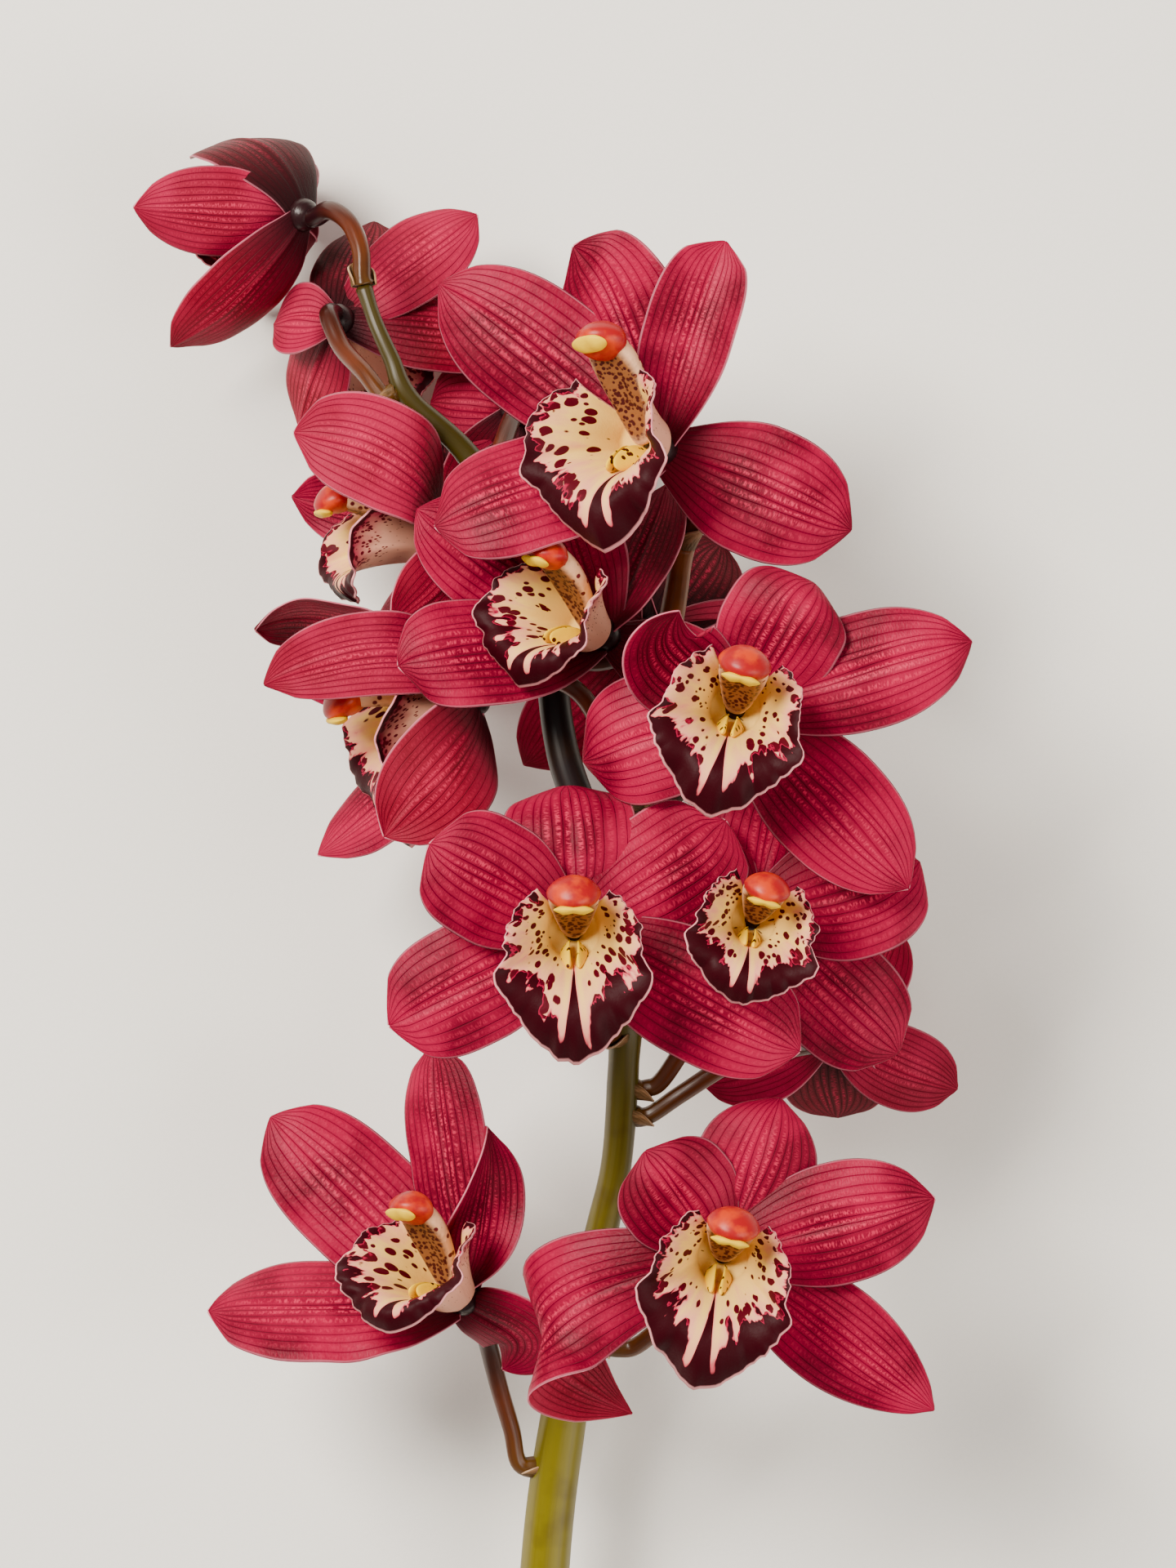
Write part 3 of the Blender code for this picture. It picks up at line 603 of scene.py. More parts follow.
def surface(tree, shader, colour, height, depth):
    """Links a colour, and a height map whose full depth is given in millimetres."""
    tree.links.new(colour, shader.inputs["Base Color"])
    normal = add(tree, "ShaderNodeBump", {"Height": height, "Distance": depth * MM,
                                          "Strength": 1.0})
    tree.links.new(normal, shader.inputs["Normal"])


def own_map(tree):
    """The piece's own map: the share along it, the share across it, and its seed."""
    pair = add(tree, "ShaderNodeSeparateXYZ", {
        "Vector": add(tree, "ShaderNodeUVMap", {}, uv_map="along_and_across")}).node
    seed = add(tree, "ShaderNodeAttribute", {}, "Fac", attribute_name="seed")
    return pair.outputs["X"], pair.outputs["Y"], seed


def make_tepal_skin(name, ground, pale, vein_colour, dark, dark_reach, roughness):
    """Fleshy tepal tissue, waxy.

    The eye gets dark parallel veins about 2.3 mm apart that meet at both ends, flesh puffed
    up between them with fine cross wrinkles, a painted highlight of pale specks along the
    middle of the ribs, and a pale thin margin.
    """
    material, tree, shader = finish(name, roughness, Specular_IOR_Level=0.08)
    along, across, seed = own_map(tree)
    rib = add(tree, "ShaderNodeMath", {0: across, 1: VEINS}, operation="MULTIPLY")
    rib = add(tree, "ShaderNodeMath", {0: rib, 1: 0.5}, operation="PINGPONG")
    vein = add(tree, "ShaderNodeMapRange", {0: rib, 1: 0.0, 2: 0.08, 3: 1.0, 4: 0.0},
               interpolation_type="SMOOTHSTEP")
    # Wrinkles are drawn 0.4 mm long and 1 mm wide, twice life size, so that they show
    cell_place = add(tree, "ShaderNodeCombineXYZ", {
        0: add(tree, "ShaderNodeMath", {0: along, 1: 130.0}, operation="MULTIPLY"),
        1: add(tree, "ShaderNodeMath", {0: across, 1: 30.0}, operation="MULTIPLY"), 2: seed})
    cells = add(tree, "ShaderNodeTexNoise", {"Vector": cell_place, "Scale": 1.0, "Detail": 3.0})
    body = add(tree, "ShaderNodeTexCoord", {}, "Object")
    cloud = add(tree, "ShaderNodeTexNoise", {"Vector": body, "Scale": 55.0, "Detail": 2.0})
    cloud = add(tree, "ShaderNodeMapRange", {0: cloud, 1: 0.38, 2: 0.62})
    colour = add(tree, "ShaderNodeMix", {0: cloud, 6: ground, 7: pale}, 2, data_type="RGBA")
    # Painted highlight: pale specks on the middle of each rib, most along the middle of the blade
    sheen_crown = add(tree, "ShaderNodeMapRange", {0: rib, 1: 0.15, 2: 0.42},
                interpolation_type="SMOOTHSTEP")
    painted_sparkle = add(tree, "ShaderNodeMapRange", {0: cells, 1: 0.44, 2: 0.60})
    painted_sparkle = add(tree, "ShaderNodeMath", {0: painted_sparkle, 1: sheen_crown}, operation="MULTIPLY")
    middle = add(tree, "ShaderNodeFloatCurve", {"Value": across},
                 stops=((0.0, 0.05), (0.25, 0.25), (0.5, 1.0), (0.75, 0.25), (1.0, 0.05)))
    lengthwise = add(tree, "ShaderNodeFloatCurve", {"Value": along},
                     stops=((0.0, 0.0), (0.2, 0.5), (0.45, 0.9), (0.75, 0.3), (1.0, 0.0)))
    painted_sheen = add(tree, "ShaderNodeMath", {0: middle, 1: lengthwise}, operation="MULTIPLY")
    painted_sheen = add(tree, "ShaderNodeMath", {0: painted_sheen, 1: 0.75, 2: 0.12}, operation="MULTIPLY_ADD")
    painted_sheen = add(tree, "ShaderNodeMath", {0: painted_sheen, 1: painted_sparkle}, operation="MULTIPLY")
    # Lays the painted highlight's colour over the flesh
    colour = add(tree, "ShaderNodeMix", {0: painted_sheen, 6: colour, 7: hex_colour(0xD02650)}, 2,
                 data_type="RGBA")
    fade = add(tree, "ShaderNodeMapRange", {0: cloud, 3: 0.42, 4: 0.15})
    fade = add(tree, "ShaderNodeMath", {0: vein, 1: fade}, operation="MULTIPLY")
    colour = add(tree, "ShaderNodeMix", {0: fade, 6: colour, 7: vein_colour}, 2,
                 data_type="RGBA")
    near_base = add(tree, "ShaderNodeMapRange", {0: along, 1: 0.0, 2: dark_reach, 3: 1.0, 4: 0.0},
                    interpolation_type="SMOOTHSTEP")
    colour = add(tree, "ShaderNodeMix", {0: near_base, 6: colour, 7: dark}, 2, data_type="RGBA")
    margin = add(tree, "ShaderNodeMath", {0: across, 1: 0.5}, operation="PINGPONG")
    margin = add(tree, "ShaderNodeMapRange", {0: margin, 1: 0.004, 2: 0.02, 3: 0.6, 4: 0.0})
    colour = add(tree, "ShaderNodeMix", {0: margin, 6: colour, 7: hex_colour(0xD87C90)}, 2,
                 data_type="RGBA")
    relief = add(tree, "ShaderNodeMath", {0: cells, 1: 0.35, 2: 0.0}, operation="MULTIPLY_ADD")
    relief = add(tree, "ShaderNodeMath", {0: vein, 1: -0.6, 2: relief}, operation="MULTIPLY_ADD")
    surface(tree, shader, colour, relief, 0.35)
    return material


def make_margin(name, colour):
    """The cut-thin margin of a tepal or lip, where the tissue holds hardly any pigment."""
    material, tree, shader = finish(name, 0.45, Specular_IOR_Level=0.3)
    body = add(tree, "ShaderNodeTexCoord", {}, "Object")
    cloud = add(tree, "ShaderNodeTexNoise", {"Vector": body, "Scale": 300.0, "Detail": 2.0})
    tone = add(tree, "ShaderNodeMix", {0: cloud, 6: colour, 7: hex_colour(0xB8405C)}, 2,
               data_type="RGBA")
    surface(tree, shader, tone, cloud, 0.05)
    return material


def lip_places(tree):
    """The lip's own map: share outwards, turn from -1 to 1, size of the turn, and two noises."""
    share, across, seed = own_map(tree)
    out = add(tree, "ShaderNodeMapRange", {0: share, 1: 0.0, 2: 1.0, 3: -LIP_ROOT, 4: 1.0})
    turn = add(tree, "ShaderNodeMath", {0: across, 1: 2.0, 2: -1.0}, operation="MULTIPLY_ADD")
    wide = add(tree, "ShaderNodeMath", {0: turn}, operation="ABSOLUTE")
    wide = add(tree, "ShaderNodeMath", {0: wide}, operation="SQRT")
    return out, turn, wide, seed


def make_lip_inside():
    """The lip's inner face: waxy cream flesh with a velvety maroon band and burgundy spots."""
    material, tree, shader = finish("lip_cream_and_maroon_flesh", 0.5, Specular_IOR_Level=0.08)
    out, turn, wide, seed = lip_places(tree)
    finger_place = add(tree, "ShaderNodeCombineXYZ", {
        0: add(tree, "ShaderNodeMath", {0: turn, 1: 17.0}, operation="MULTIPLY"),
        1: add(tree, "ShaderNodeMath", {0: out, 1: 3.0}, operation="MULTIPLY"), 2: seed})
    fingers = add(tree, "ShaderNodeTexNoise", {"Vector": finger_place, "Scale": 1.0,
                                               "Detail": 2.5, "Roughness": 0.6})
    # Where the maroon starts, from the middle of the lower lobe (0) to the top of the throat (1)
    start = add(tree, "ShaderNodeFloatCurve", {"Value": wide}, stops=(
        (0.0, 0.16), (0.09, 0.24), (0.14, 0.42), (0.18, 0.66), (0.21, 0.84), (0.235, 0.85),
        (0.28, 0.70), (0.36, 0.60), (0.42, 0.66), (0.47, 0.60), (0.6, 0.66), (0.68, 0.78),
        (0.73, 0.86), (0.81, 0.92), (1.0, 0.93)))
    swing = add(tree, "ShaderNodeMapRange", {0: wide, 1: 0.2, 2: 0.32, 3: 0.1, 4: 0.7})
    fingers = add(tree, "ShaderNodeMath", {0: fingers, 1: 0.5}, operation="SUBTRACT")
    depth = add(tree, "ShaderNodeMath", {0: fingers, 1: swing, 2: out}, operation="MULTIPLY_ADD")
    depth = add(tree, "ShaderNodeMath", {0: depth, 1: start}, operation="SUBTRACT")
    # The band's inner edge is made of round lobes with pink slits between them
    lobe_place = add(tree, "ShaderNodeCombineXYZ", {
        0: add(tree, "ShaderNodeMath", {0: turn, 1: 12.0}, operation="MULTIPLY"),
        1: add(tree, "ShaderNodeMath", {0: out, 1: 4.0}, operation="MULTIPLY"), 2: seed})
    lobes = add(tree, "ShaderNodeTexVoronoi", {"Vector": lobe_place, "Scale": 1.0})
    lobe_share = add(tree, "ShaderNodeMapRange", {0: wide, 1: 0.2, 2: 0.32, 3: -0.05, 4: -0.3})
    lobes = add(tree, "ShaderNodeMath", {0: lobes, 1: 0.42}, operation="SUBTRACT")
    depth = add(tree, "ShaderNodeMath", {0: lobes, 1: lobe_share, 2: depth},
                operation="MULTIPLY_ADD")
    # Cream in the middle of the throat, peach towards the side lobes
    colour = add(tree, "ShaderNodeMix", {
        0: add(tree, "ShaderNodeMapRange", {0: depth, 1: -0.45, 2: -0.02}),
        6: hex_colour(0xEEC468), 7: hex_colour(0xE09080)}, 2, data_type="RGBA")
    spot_place = add(tree, "ShaderNodeCombineXYZ", {
        0: add(tree, "ShaderNodeMath", {0: turn, 1: 13.0}, operation="MULTIPLY"),
        1: add(tree, "ShaderNodeMath", {0: out, 1: 6.4}, operation="MULTIPLY"), 2: seed})
    spots = add(tree, "ShaderNodeTexVoronoi", {"Vector": spot_place, "Scale": 1.0}).node
    chance = add(tree, "ShaderNodeSeparateColor", {"Color": spots.outputs["Color"]})
    size = add(tree, "ShaderNodeMath", {0: chance, 1: 0.42, 2: 0.12}, operation="MULTIPLY_ADD")
    clear = add(tree, "ShaderNodeMapRange", {0: wide, 1: 0.26, 2: 0.36, 3: -0.4, 4: 0.0})
    size = add(tree, "ShaderNodeMath", {0: size, 1: clear}, operation="ADD")
    inner = add(tree, "ShaderNodeMapRange", {0: out, 1: 0.1, 2: 0.3, 3: -0.25, 4: 0.0})
    size = add(tree, "ShaderNodeMath", {0: size, 1: inner}, operation="ADD")
    near_band = add(tree, "ShaderNodeMapRange", {0: depth, 1: -0.22, 2: 0.0, 3: 0.0, 4: 0.2})
    size = add(tree, "ShaderNodeMath", {0: size, 1: near_band}, operation="ADD")
    spot = add(tree, "ShaderNodeMath", {0: size, 1: spots.outputs["Distance"]},
               operation="SUBTRACT")
    spot = add(tree, "ShaderNodeMapRange", {0: spot, 1: -0.01, 2: 0.03})
    colour = add(tree, "ShaderNodeMix", {0: spot, 6: colour, 7: hex_colour(0x4A0212)}, 2,
                 data_type="RGBA")
    halo = add(tree, "ShaderNodeMapRange", {0: depth, 1: -0.05, 2: -0.006, 3: 0.0, 4: 0.8})
    colour = add(tree, "ShaderNodeMix", {0: halo, 6: colour, 7: hex_colour(0xB01040)}, 2,
                 data_type="RGBA")
    band = add(tree, "ShaderNodeMapRange", {0: depth, 1: -0.006, 2: 0.008})
    colour = add(tree, "ShaderNodeMix", {0: band, 6: colour, 7: hex_colour(0x2C0008)}, 2,
                 data_type="RGBA")
    rim_start = add(tree, "ShaderNodeMapRange", {0: wide, 1: 0.63, 2: 0.77, 3: 0.97, 4: 0.985})
    rim = add(tree, "ShaderNodeMath", {0: out, 1: rim_start}, operation="SUBTRACT")
    rim = add(tree, "ShaderNodeMapRange", {0: rim, 1: 0.0, 2: 0.015, 4: 0.9})
    colour = add(tree, "ShaderNodeMix", {0: rim, 6: colour, 7: hex_colour(0xE89CA0)}, 2,
                 data_type="RGBA")
    body = add(tree, "ShaderNodeTexCoord", {}, "Object")
    velvet = add(tree, "ShaderNodeTexNoise", {"Vector": body, "Scale": 1400.0, "Detail": 2.0})
    surface(tree, shader, colour, velvet, 0.06)
    return material


def make_lip_outside():
    """The lip's outer face: pinkish cream with small burgundy dots, and a maroon border."""
    material, tree, shader = finish("lip_outer_flesh", 0.45, Specular_IOR_Level=0.15)
    out, turn, wide, seed = lip_places(tree)
    dot_place = add(tree, "ShaderNodeCombineXYZ", {
        0: add(tree, "ShaderNodeMath", {0: turn, 1: 34.0}, operation="MULTIPLY"),
        1: add(tree, "ShaderNodeMath", {0: out, 1: 13.0}, operation="MULTIPLY"), 2: seed})
    dots = add(tree, "ShaderNodeTexVoronoi", {"Vector": dot_place, "Scale": 1.0})
    clouds = add(tree, "ShaderNodeTexNoise", {"Vector": dot_place, "Scale": 0.4, "Detail": 2.0})
    flush = add(tree, "ShaderNodeMath", {0: clouds, 1: 0.35, 2: out}, operation="MULTIPLY_ADD")
    # Dots grow and crowd together towards the rim, and run into a maroon border there
    near_rim = add(tree, "ShaderNodeMapRange", {0: flush, 1: 0.35, 2: 1.05, 3: 0.12, 4: 0.55})
    dot = add(tree, "ShaderNodeMath", {0: near_rim, 1: dots}, operation="SUBTRACT")
    dot = add(tree, "ShaderNodeMapRange", {0: dot, 1: -0.02, 2: 0.05})
    pink = add(tree, "ShaderNodeMapRange", {0: flush, 1: 0.6, 2: 1.0})
    colour = add(tree, "ShaderNodeMix", {0: pink, 6: hex_colour(0xD89A80),
                                         7: hex_colour(0xA83048)}, 2, data_type="RGBA")
    colour = add(tree, "ShaderNodeMix", {0: dot, 6: colour, 7: hex_colour(0x5A0418)}, 2,
                 data_type="RGBA")
    border = add(tree, "ShaderNodeMapRange", {0: flush, 1: 1.0, 2: 1.06})
    colour = add(tree, "ShaderNodeMix", {0: border, 6: colour, 7: hex_colour(0x3A0210)}, 2,
                 data_type="RGBA")
    surface(tree, shader, colour, clouds, 0.15)
    return material


def make_column_skin():
    """The column: waxy, tan with dark dots below, the tan partly painted shade, cream with dashes at the
    sides, red on top.
    """
    material, tree, shader = finish("column_waxy_flesh", 0.42, Specular_IOR_Level=0.2)
    rise, along, seed = own_map(tree)
    body = add(tree, "ShaderNodeTexCoord", {}, "Object")
    dots = add(tree, "ShaderNodeTexVoronoi", {"Vector": body, "Scale": 900.0})
    dot = add(tree, "ShaderNodeMapRange", {0: dots, 1: 0.42, 2: 0.54, 3: 1.0, 4: 0.0})
    # Painted shade: the tan under the column is its own colour darkened for the shadow it sits in
    below = add(tree, "ShaderNodeMix", {0: dot, 6: hex_colour(0x80502C),
                                        7: hex_colour(0x3A0C10)}, 2, data_type="RGBA")
    drops = add(tree, "ShaderNodeTexVoronoi", {"Vector": body, "Scale": 420.0})
    drop = add(tree, "ShaderNodeMapRange", {0: drops, 1: 0.22, 2: 0.30, 3: 1.0, 4: 0.0})
    beside = add(tree, "ShaderNodeMix", {0: drop, 6: hex_colour(0xE0AC84),
                                         7: hex_colour(0x5A0A1C)}, 2, data_type="RGBA")
    side = add(tree, "ShaderNodeMapRange", {0: rise, 1: 0.18, 2: 0.34})
    colour = add(tree, "ShaderNodeMix", {0: side, 6: below, 7: beside}, 2, data_type="RGBA")
    top = add(tree, "ShaderNodeMapRange", {0: rise, 1: 0.62, 2: 0.9})
    colour = add(tree, "ShaderNodeMix", {0: top, 6: colour, 7: hex_colour(0x8A0820)}, 2,
                 data_type="RGBA")
    surface(tree, shader, colour, dots, 0.1)
    return material


def make_cap_skin():
    """The anther cap: smooth and glossy like enamel, dark red mottled with orange-red."""
    material, tree, shader = finish("anther_cap_flesh", 0.38, Specular_IOR_Level=0.25)
    body = add(tree, "ShaderNodeTexCoord", {}, "Object")
    cloud = add(tree, "ShaderNodeTexNoise", {"Vector": body, "Scale": 220.0, "Detail": 4.0})
    orange = add(tree, "ShaderNodeMapRange", {0: cloud, 1: 0.45, 2: 0.62})
    colour = add(tree, "ShaderNodeMix", {0: orange, 6: hex_colour(0x960410),
                                         7: hex_colour(0xBC3004)}, 2, data_type="RGBA")
    surface(tree, shader, colour, cloud, 0.12)
    return material


def make_pollen_skin():
    """The pollen masses: waxy butter yellow."""
    material, tree, shader = finish("pollen_wax", 0.5, Specular_IOR_Level=0.2)
    body = add(tree, "ShaderNodeTexCoord", {}, "Object")
    cloud = add(tree, "ShaderNodeTexNoise", {"Vector": body, "Scale": 500.0, "Detail": 2.0})
    colour = add(tree, "ShaderNodeMix", {0: cloud, 6: hex_colour(0xD8A800),
                                         7: hex_colour(0xE8C400)}, 2, data_type="RGBA")
    surface(tree, shader, colour, cloud, 0.1)
    return material


def make_keel_skin():
    """The lip's two ridges: yellow flesh with a few dark dots."""
    material, tree, shader = finish("keel_yellow_flesh", 0.5, Specular_IOR_Level=0.2)
    body = add(tree, "ShaderNodeTexCoord", {}, "Object")
    dots = add(tree, "ShaderNodeTexVoronoi", {"Vector": body, "Scale": 420.0})
    dot = add(tree, "ShaderNodeMapRange", {0: dots, 1: 0.24, 2: 0.30, 3: 1.0, 4: 0.0})
    colour = add(tree, "ShaderNodeMix", {0: dot, 6: hex_colour(0xF0C400),
                                         7: hex_colour(0x3A0408)}, 2, data_type="RGBA")
    surface(tree, shader, colour, dots, 0.08)
    return material


def make_stalk_skin(name, foot, middle, end, streak, change, roughness, painted_shade_amount=0.0):
    """Fresh stalk skin: smooth and glossy over faint lengthwise fibres and broad stripes.

    change gives the shares of the length between which the colour turns from middle to end.
    """
    material, tree, shader = finish(name, roughness, Specular_IOR_Level=0.3)
    along, around, seed = own_map(tree)
    body = add(tree, "ShaderNodeTexCoord", {}, "Object")
    first = add(tree, "ShaderNodeMapRange", {0: along, 1: 0.05, 2: 0.4})
    colour = add(tree, "ShaderNodeMix", {0: first, 6: foot, 7: middle}, 2, data_type="RGBA")
    second = add(tree, "ShaderNodeMapRange", {0: along, 1: change[0], 2: change[1]})
    colour = add(tree, "ShaderNodeMix", {0: second, 6: colour, 7: end}, 2, data_type="RGBA")
    # Painted shade: the stretch of stem under and behind the flowers is darkened to nearly black
    painted_shade = add(tree, "ShaderNodeFloatCurve", {"Value": along}, stops=(
        (0.0, 0.0), (0.53, 0.0), (0.58, 1.0), (0.67, 1.0), (0.71, 0.0), (1.0, 0.0)))
    painted_shade = add(tree, "ShaderNodeMath", {0: painted_shade, 1: painted_shade_amount}, operation="MULTIPLY")
    colour = add(tree, "ShaderNodeMix", {0: painted_shade, 6: colour, 7: hex_colour(0x160A0C)}, 2,
                 data_type="RGBA")
    fibre_place = add(tree, "ShaderNodeCombineXYZ", {
        0: add(tree, "ShaderNodeMath", {0: around, 1: 14.0}, operation="MULTIPLY"),
        1: add(tree, "ShaderNodeMath", {0: along, 1: 5.0}, operation="MULTIPLY"), 2: seed})
    fibres = add(tree, "ShaderNodeTexNoise", {"Vector": fibre_place, "Scale": 1.0,
                                              "Detail": 3.0})
    tint = add(tree, "ShaderNodeMapRange", {0: fibres, 1: 0.5, 2: 0.75, 3: 0.0, 4: 0.5})
    colour = add(tree, "ShaderNodeMix", {0: tint, 6: colour, 7: streak}, 2, data_type="RGBA")
    patches = add(tree, "ShaderNodeTexNoise", {"Vector": body, "Scale": 70.0, "Detail": 3.0})
    patch = add(tree, "ShaderNodeMapRange", {0: patches, 1: 0.5, 2: 0.7, 3: 0.0, 4: 0.5})
    colour = add(tree, "ShaderNodeMix", {0: patch, 6: colour, 7: streak}, 2, data_type="RGBA")
    surface(tree, shader, colour, fibres, 0.12)
    return material


def make_bract_skin(name, colour, edge):
    """Dry papery scale leaf: thin, ribbed lengthwise, straw-pale towards its edge."""
    material, tree, shader = finish(name, 0.6, Specular_IOR_Level=0.3)
    along, across, seed = own_map(tree)
    rib_place = add(tree, "ShaderNodeCombineXYZ", {
        0: add(tree, "ShaderNodeMath", {0: across, 1: 24.0}, operation="MULTIPLY"),
        1: add(tree, "ShaderNodeMath", {0: along, 1: 3.0}, operation="MULTIPLY"), 2: seed})
    ribs = add(tree, "ShaderNodeTexNoise", {"Vector": rib_place, "Scale": 1.0, "Detail": 2.0})
    tip = add(tree, "ShaderNodeMath", {0: along, 1: 0.45, 2: ribs}, operation="MULTIPLY_ADD")
    tip = add(tree, "ShaderNodeMapRange", {0: tip, 1: 0.55, 2: 0.95})
    tone = add(tree, "ShaderNodeMix", {0: tip, 6: colour, 7: edge}, 2, data_type="RGBA")
    surface(tree, shader, tone, ribs, 0.2)
    return material


def make_floor_paper():
    """Matt pale studio paper."""
    material, tree, shader = finish("studio_paper", 0.95, Specular_IOR_Level=0.1)
    body = add(tree, "ShaderNodeTexCoord", {}, "Object")
    cloud = add(tree, "ShaderNodeTexNoise", {"Vector": body, "Scale": 900.0, "Detail": 2.0})
    colour = add(tree, "ShaderNodeMix", {0: cloud, 6: hex_colour(0xEEECE6),
                                         7: hex_colour(0xF3F1EC)}, 2, data_type="RGBA")
    surface(tree, shader, colour, cloud, 0.02)
    return material


def make_stem(finishes):
    """The main stem and its side branch, a little swollen where a flower's stalk leaves."""
    feet = [Vector(spec.pedicel[0]) for spec in FLOWERS]
    for name, stations, around in (("stem_main", STEM, 40), ("stem_branch", BRANCH, 32)):
        places = through([Vector(station[:3]) for station in stations], 8)
        sizes = through([Vector((station[3], 0.0, 0.0)) for station in stations], 8)
        last = len(places) - 1
        radii = [size.x * lerp(1.0, 0.84, smooth(4.0 * i / last - 2.8))
                 + 0.6 * max(exp(-((foot - place).length / 5.0) ** 2) for foot in feet)
                 for i, (size, place) in enumerate(zip(sizes, places))]
        stem = tube(name, places, lambda share: radii[round(share * last)],
                    [finishes[name]], around, 5, 0.5)
        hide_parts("stem")


def nearest_in_stem(place):
    """The nearest point of the stem's or the branch's middle line."""
    lines = [through([Vector(station[:3]) for station in stations], 8)
             for stations in (STEM, BRANCH)]
    return min(lines[0] + lines[1], key=lambda point: (point - place).length)


def make_pedicel(spec, finishes):
    """A flower's own stalk: out of the stem, and swelling into the back of the flower."""
    back = spec.centre - spec.face.normalized() * (RECEPTACLE_RADIUS + 0.9)
    inside = spec.centre - spec.face.normalized() * 1.5
    foot = Vector(spec.pedicel[0])
    root = lerp(nearest_in_stem(foot), foot, 0.25)
    places = through([root] + [Vector(place) for place in spec.pedicel] + [back, inside], 8)

    def radius(share):
        return lerp(2.2, 2.6, share) + 0.6 * exp(-((share - 0.06) / 0.06) ** 2)

    stalk = tube(spec.name + "_stalk", places, radius, [finishes["pedicel"]], 36, 6,
                 0.2)
    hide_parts(spec.name + "_pedicel")
    under = Vector((0.0, -1.0, -0.2)) if foot.y > root.y else Vector((0.3, -1.0, 0.0))
    make_bract(spec.name + "_bract", root, places[10] - places[0], under, 2.9, 6.5,
               [finishes["bract"], finishes["bract_edge"]])


def make_sheaths(finishes):
    """Papery sheaths that clasp the lower stem, one at each of its nodes."""
    places = through([Vector(station[:3]) for station in STEM], 8)
    sizes = through([Vector((station[3], 0.0, 0.0)) for station in STEM], 8)
    for number, (start, length, turn) in enumerate(SHEATHS):
        i = round(start * (len(places) - 1))
        along = places[i + 4] - places[i]
        under = Matrix.Rotation(radians(turn), 3, along) @ Vector((0.0, 0.0, 1.0))
        make_bract(f"stem_sheath_{number + 1}", places[i], along, under, sizes[i].x + 0.5, length,
                   [finishes["bract"], finishes["bract_edge"]], 0.8)


def make_receptacle(spec, finish_of_it):
    """The knob in the middle of the flower's back, where its petals and lip are joined on."""
    right, up, forward = flower_frame(spec, spec.face)

    def place(x, y, z):
        return spec.centre + (right * x + up * y) * RECEPTACLE_RADIUS + forward * (
            z * RECEPTACLE_RADIUS - 0.4)

    core = round_piece(spec.name + "_receptacle", place, [finish_of_it], 24, 16)
    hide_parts(spec.name + "_tepals")


def make_stage():
    """A pale floor, soft studio lights and the camera that looks straight down."""
    shape = bmesh.new()
    bmesh.ops.create_grid(shape, x_segments=1, y_segments=1, size=3.0)
    mesh = bpy.data.meshes.new("floor")
    shape.to_mesh(mesh)
    shape.free()
    mesh.materials.append(make_floor_paper())
    floor = bpy.data.objects.new("floor", mesh)
    bpy.context.scene.collection.objects.link(floor)
    for name, spot, size, power in (("key", (-0.9, 0.9, 1.5), 0.8, 84.0),
                                    ("fill", (1.3, -0.5, 1.4), 1.4, 36.0)):
        light = bpy.data.lights.new(name, "AREA")
        light.size = size
        light.energy = power
        light.color = hex_colour(0xFFF7EC)[:3]
        lamp = bpy.data.objects.new(name, light)
        lamp.location = spot
        aim = Vector((0.0, 0.1, 0.05)) - Vector(spot)
        lamp.rotation_euler = aim.to_track_quat("-Z", "Y").to_euler()
        bpy.context.scene.collection.objects.link(lamp)
    world = bpy.data.worlds.new("studio")
    world.use_nodes = True
    world.node_tree.nodes["Background"].inputs["Color"].default_value = hex_colour(0xFFF8F0)
    world.node_tree.nodes["Background"].inputs["Strength"].default_value = 0.38
    bpy.context.scene.world = world
    lens = bpy.data.cameras.new("camera")
    lens.lens = FOCAL_PX * 36.0 / 1920.0
    lens.sensor_width = 36.0
    camera = bpy.data.objects.new("camera", lens)
    camera.location = (Vector((0.0, 0.0, CAMERA_HEIGHT)) + ORIGIN) * MM
    bpy.context.scene.collection.objects.link(camera)
    bpy.context.scene.camera = camera


# The photograph's camera: millimetres above the surface, and focal length in its pixels
CAMERA_HEIGHT = 1290.0
FOCAL_PX = 6000.0

# Which finish the back of each sepal or petal has: the outer ones are the darkest
BACKS = {"dorsal_sepal": "dorsal_back", "left_petal": "petal_back", "right_petal": "petal_back",
         "left_sepal": "sepal_back", "right_sepal": "sepal_back"}

# The sheaths of the lower stem: share of the stem's length, length, turn round it
SHEATHS = ((0.02, 32.0, 40.0), (0.075, 36.0, -110.0), (0.13, 32.0, 70.0))

# Veins across one sepal or petal
VEINS = 13.0

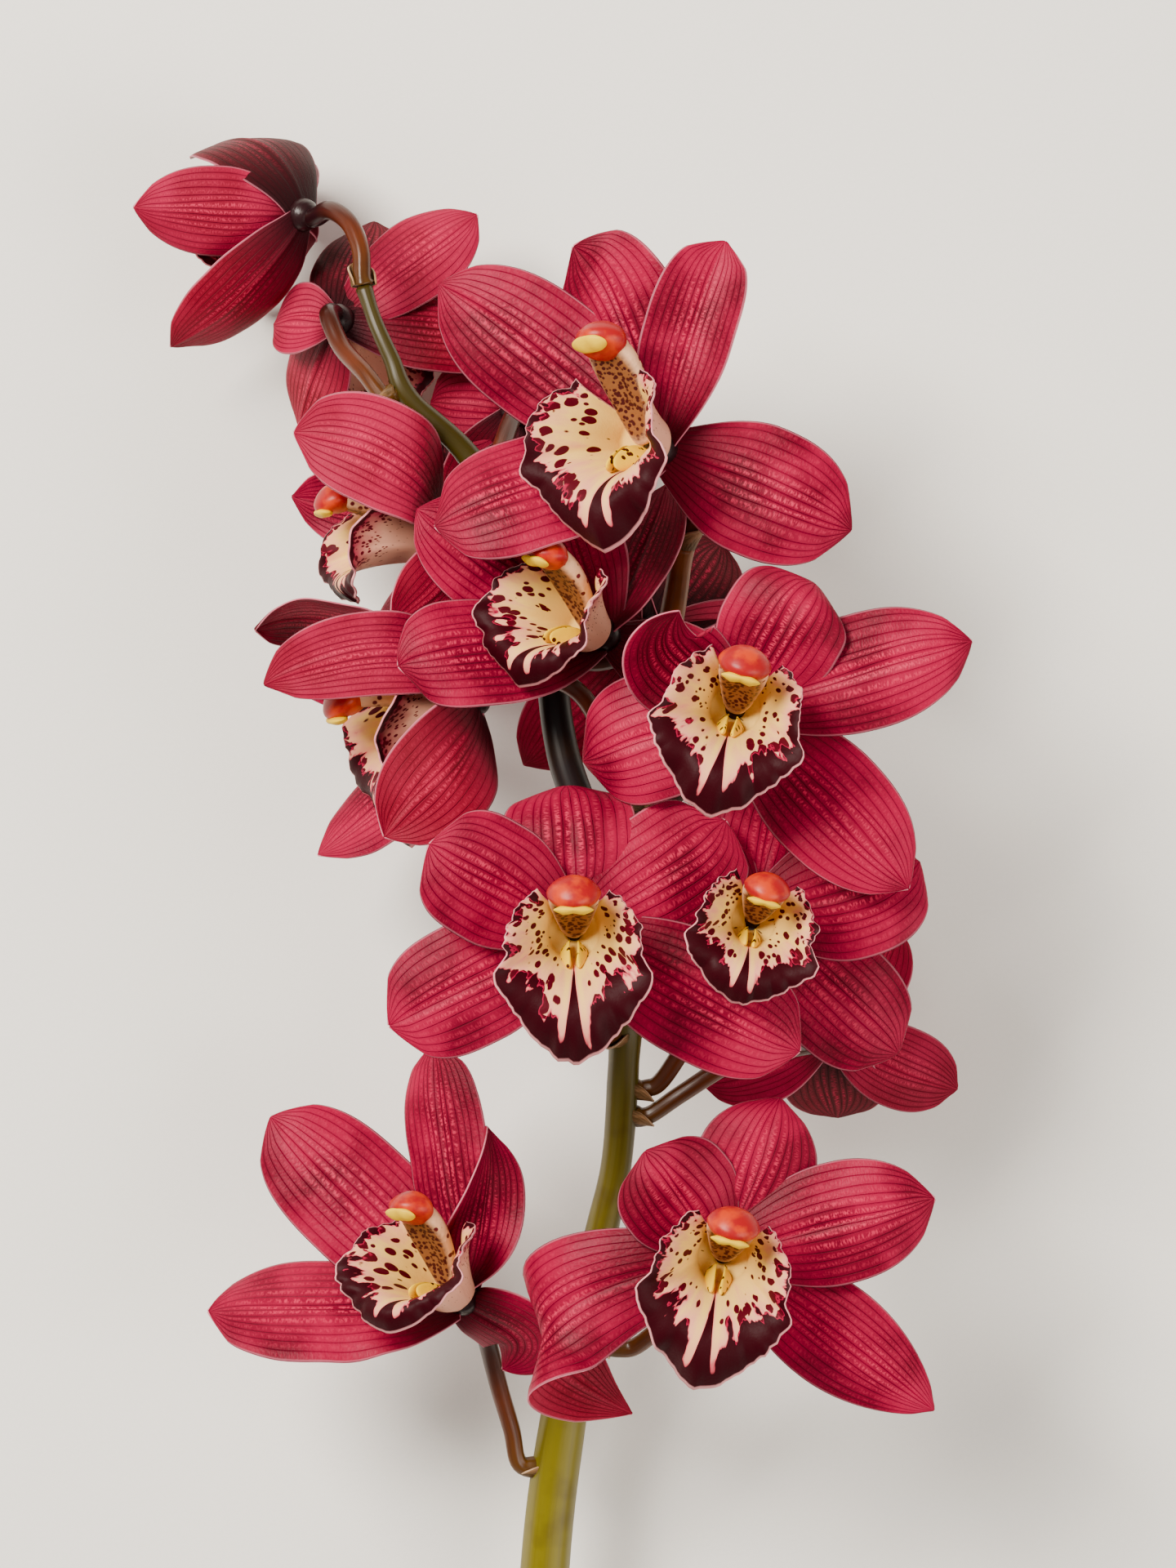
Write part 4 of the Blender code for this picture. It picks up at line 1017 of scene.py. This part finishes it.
finishes = {
    "front": make_tepal_skin("petal_upper_flesh", hex_colour(0x62021E), hex_colour(0x940434),
                             hex_colour(0x3A0212), hex_colour(0x4C0214), 0.35, 0.4),
    "petal_back": make_tepal_skin("petal_lower_flesh", hex_colour(0x7C0A28), hex_colour(0x9A123A),
                                  hex_colour(0x5E061C), hex_colour(0x400A14), 0.25, 0.5),
    "sepal_back": make_tepal_skin("sepal_lower_flesh", hex_colour(0x740620), hex_colour(0x8E1030),
                                  hex_colour(0x500618), hex_colour(0x300A12), 0.5, 0.45),
    "dorsal_back": make_tepal_skin("dorsal_sepal_lower_flesh", hex_colour(0x4C0814),
                                   hex_colour(0x5E0E1C), hex_colour(0x34060E),
                                   hex_colour(0x22080C), 0.8, 0.5),
    "rim": make_margin("petal_margin", hex_colour(0xD88898)),
    "lip_front": make_lip_inside(),
    "lip_back": make_lip_outside(),
    "lip_rim": make_margin("lip_margin", hex_colour(0xE8A8A8)),
    "column": make_column_skin(),
    "cap": make_cap_skin(),
    "pollen": make_pollen_skin(),
    "keel": make_keel_skin(),
    "pedicel": make_stalk_skin("pedicel_skin", hex_colour(0x4A3008), hex_colour(0x56240C),
                               hex_colour(0x1C060A), hex_colour(0x2C100A), (0.4, 0.75), 0.3),
    "stem_main": make_stalk_skin("flower_stem_skin", hex_colour(0x766C00), hex_colour(0x4E4400),
                            hex_colour(0x352C04), hex_colour(0x301C02), (0.5, 0.8), 0.4, 1.0),
    "stem_branch": make_stalk_skin("side_branch_skin", hex_colour(0x605400), hex_colour(0x605400),
                              hex_colour(0x703C08), hex_colour(0x3A2404), (0.6, 0.75), 0.4),
    "bract": make_bract_skin("bract_paper", hex_colour(0x4C3410), hex_colour(0x8A6440)),
    "bract_edge": make_bract_skin("bract_paper_edge", hex_colour(0x96704A), hex_colour(0xB89878)),
    "receptacle": make_stalk_skin("receptacle_skin", hex_colour(0x20080C), hex_colour(0x20080C),
                                  hex_colour(0x20080C), hex_colour(0x12060A), (0.4, 0.75), 0.3),
}
make_stem(finishes)
make_sheaths(finishes)
for spec in FLOWERS:
    make_pedicel(spec, finishes)
    make_receptacle(spec, finishes["receptacle"])
    for name in spec.tepals:
        back = finishes[BACKS[name]]
        make_tepal(spec, name, [finishes["front"], back, finishes["rim"]])
    make_lip(spec, [finishes["lip_front"], finishes["lip_back"], finishes["lip_rim"]])
    make_keels(spec, finishes["keel"])
    make_column(spec, finishes)
make_stage()
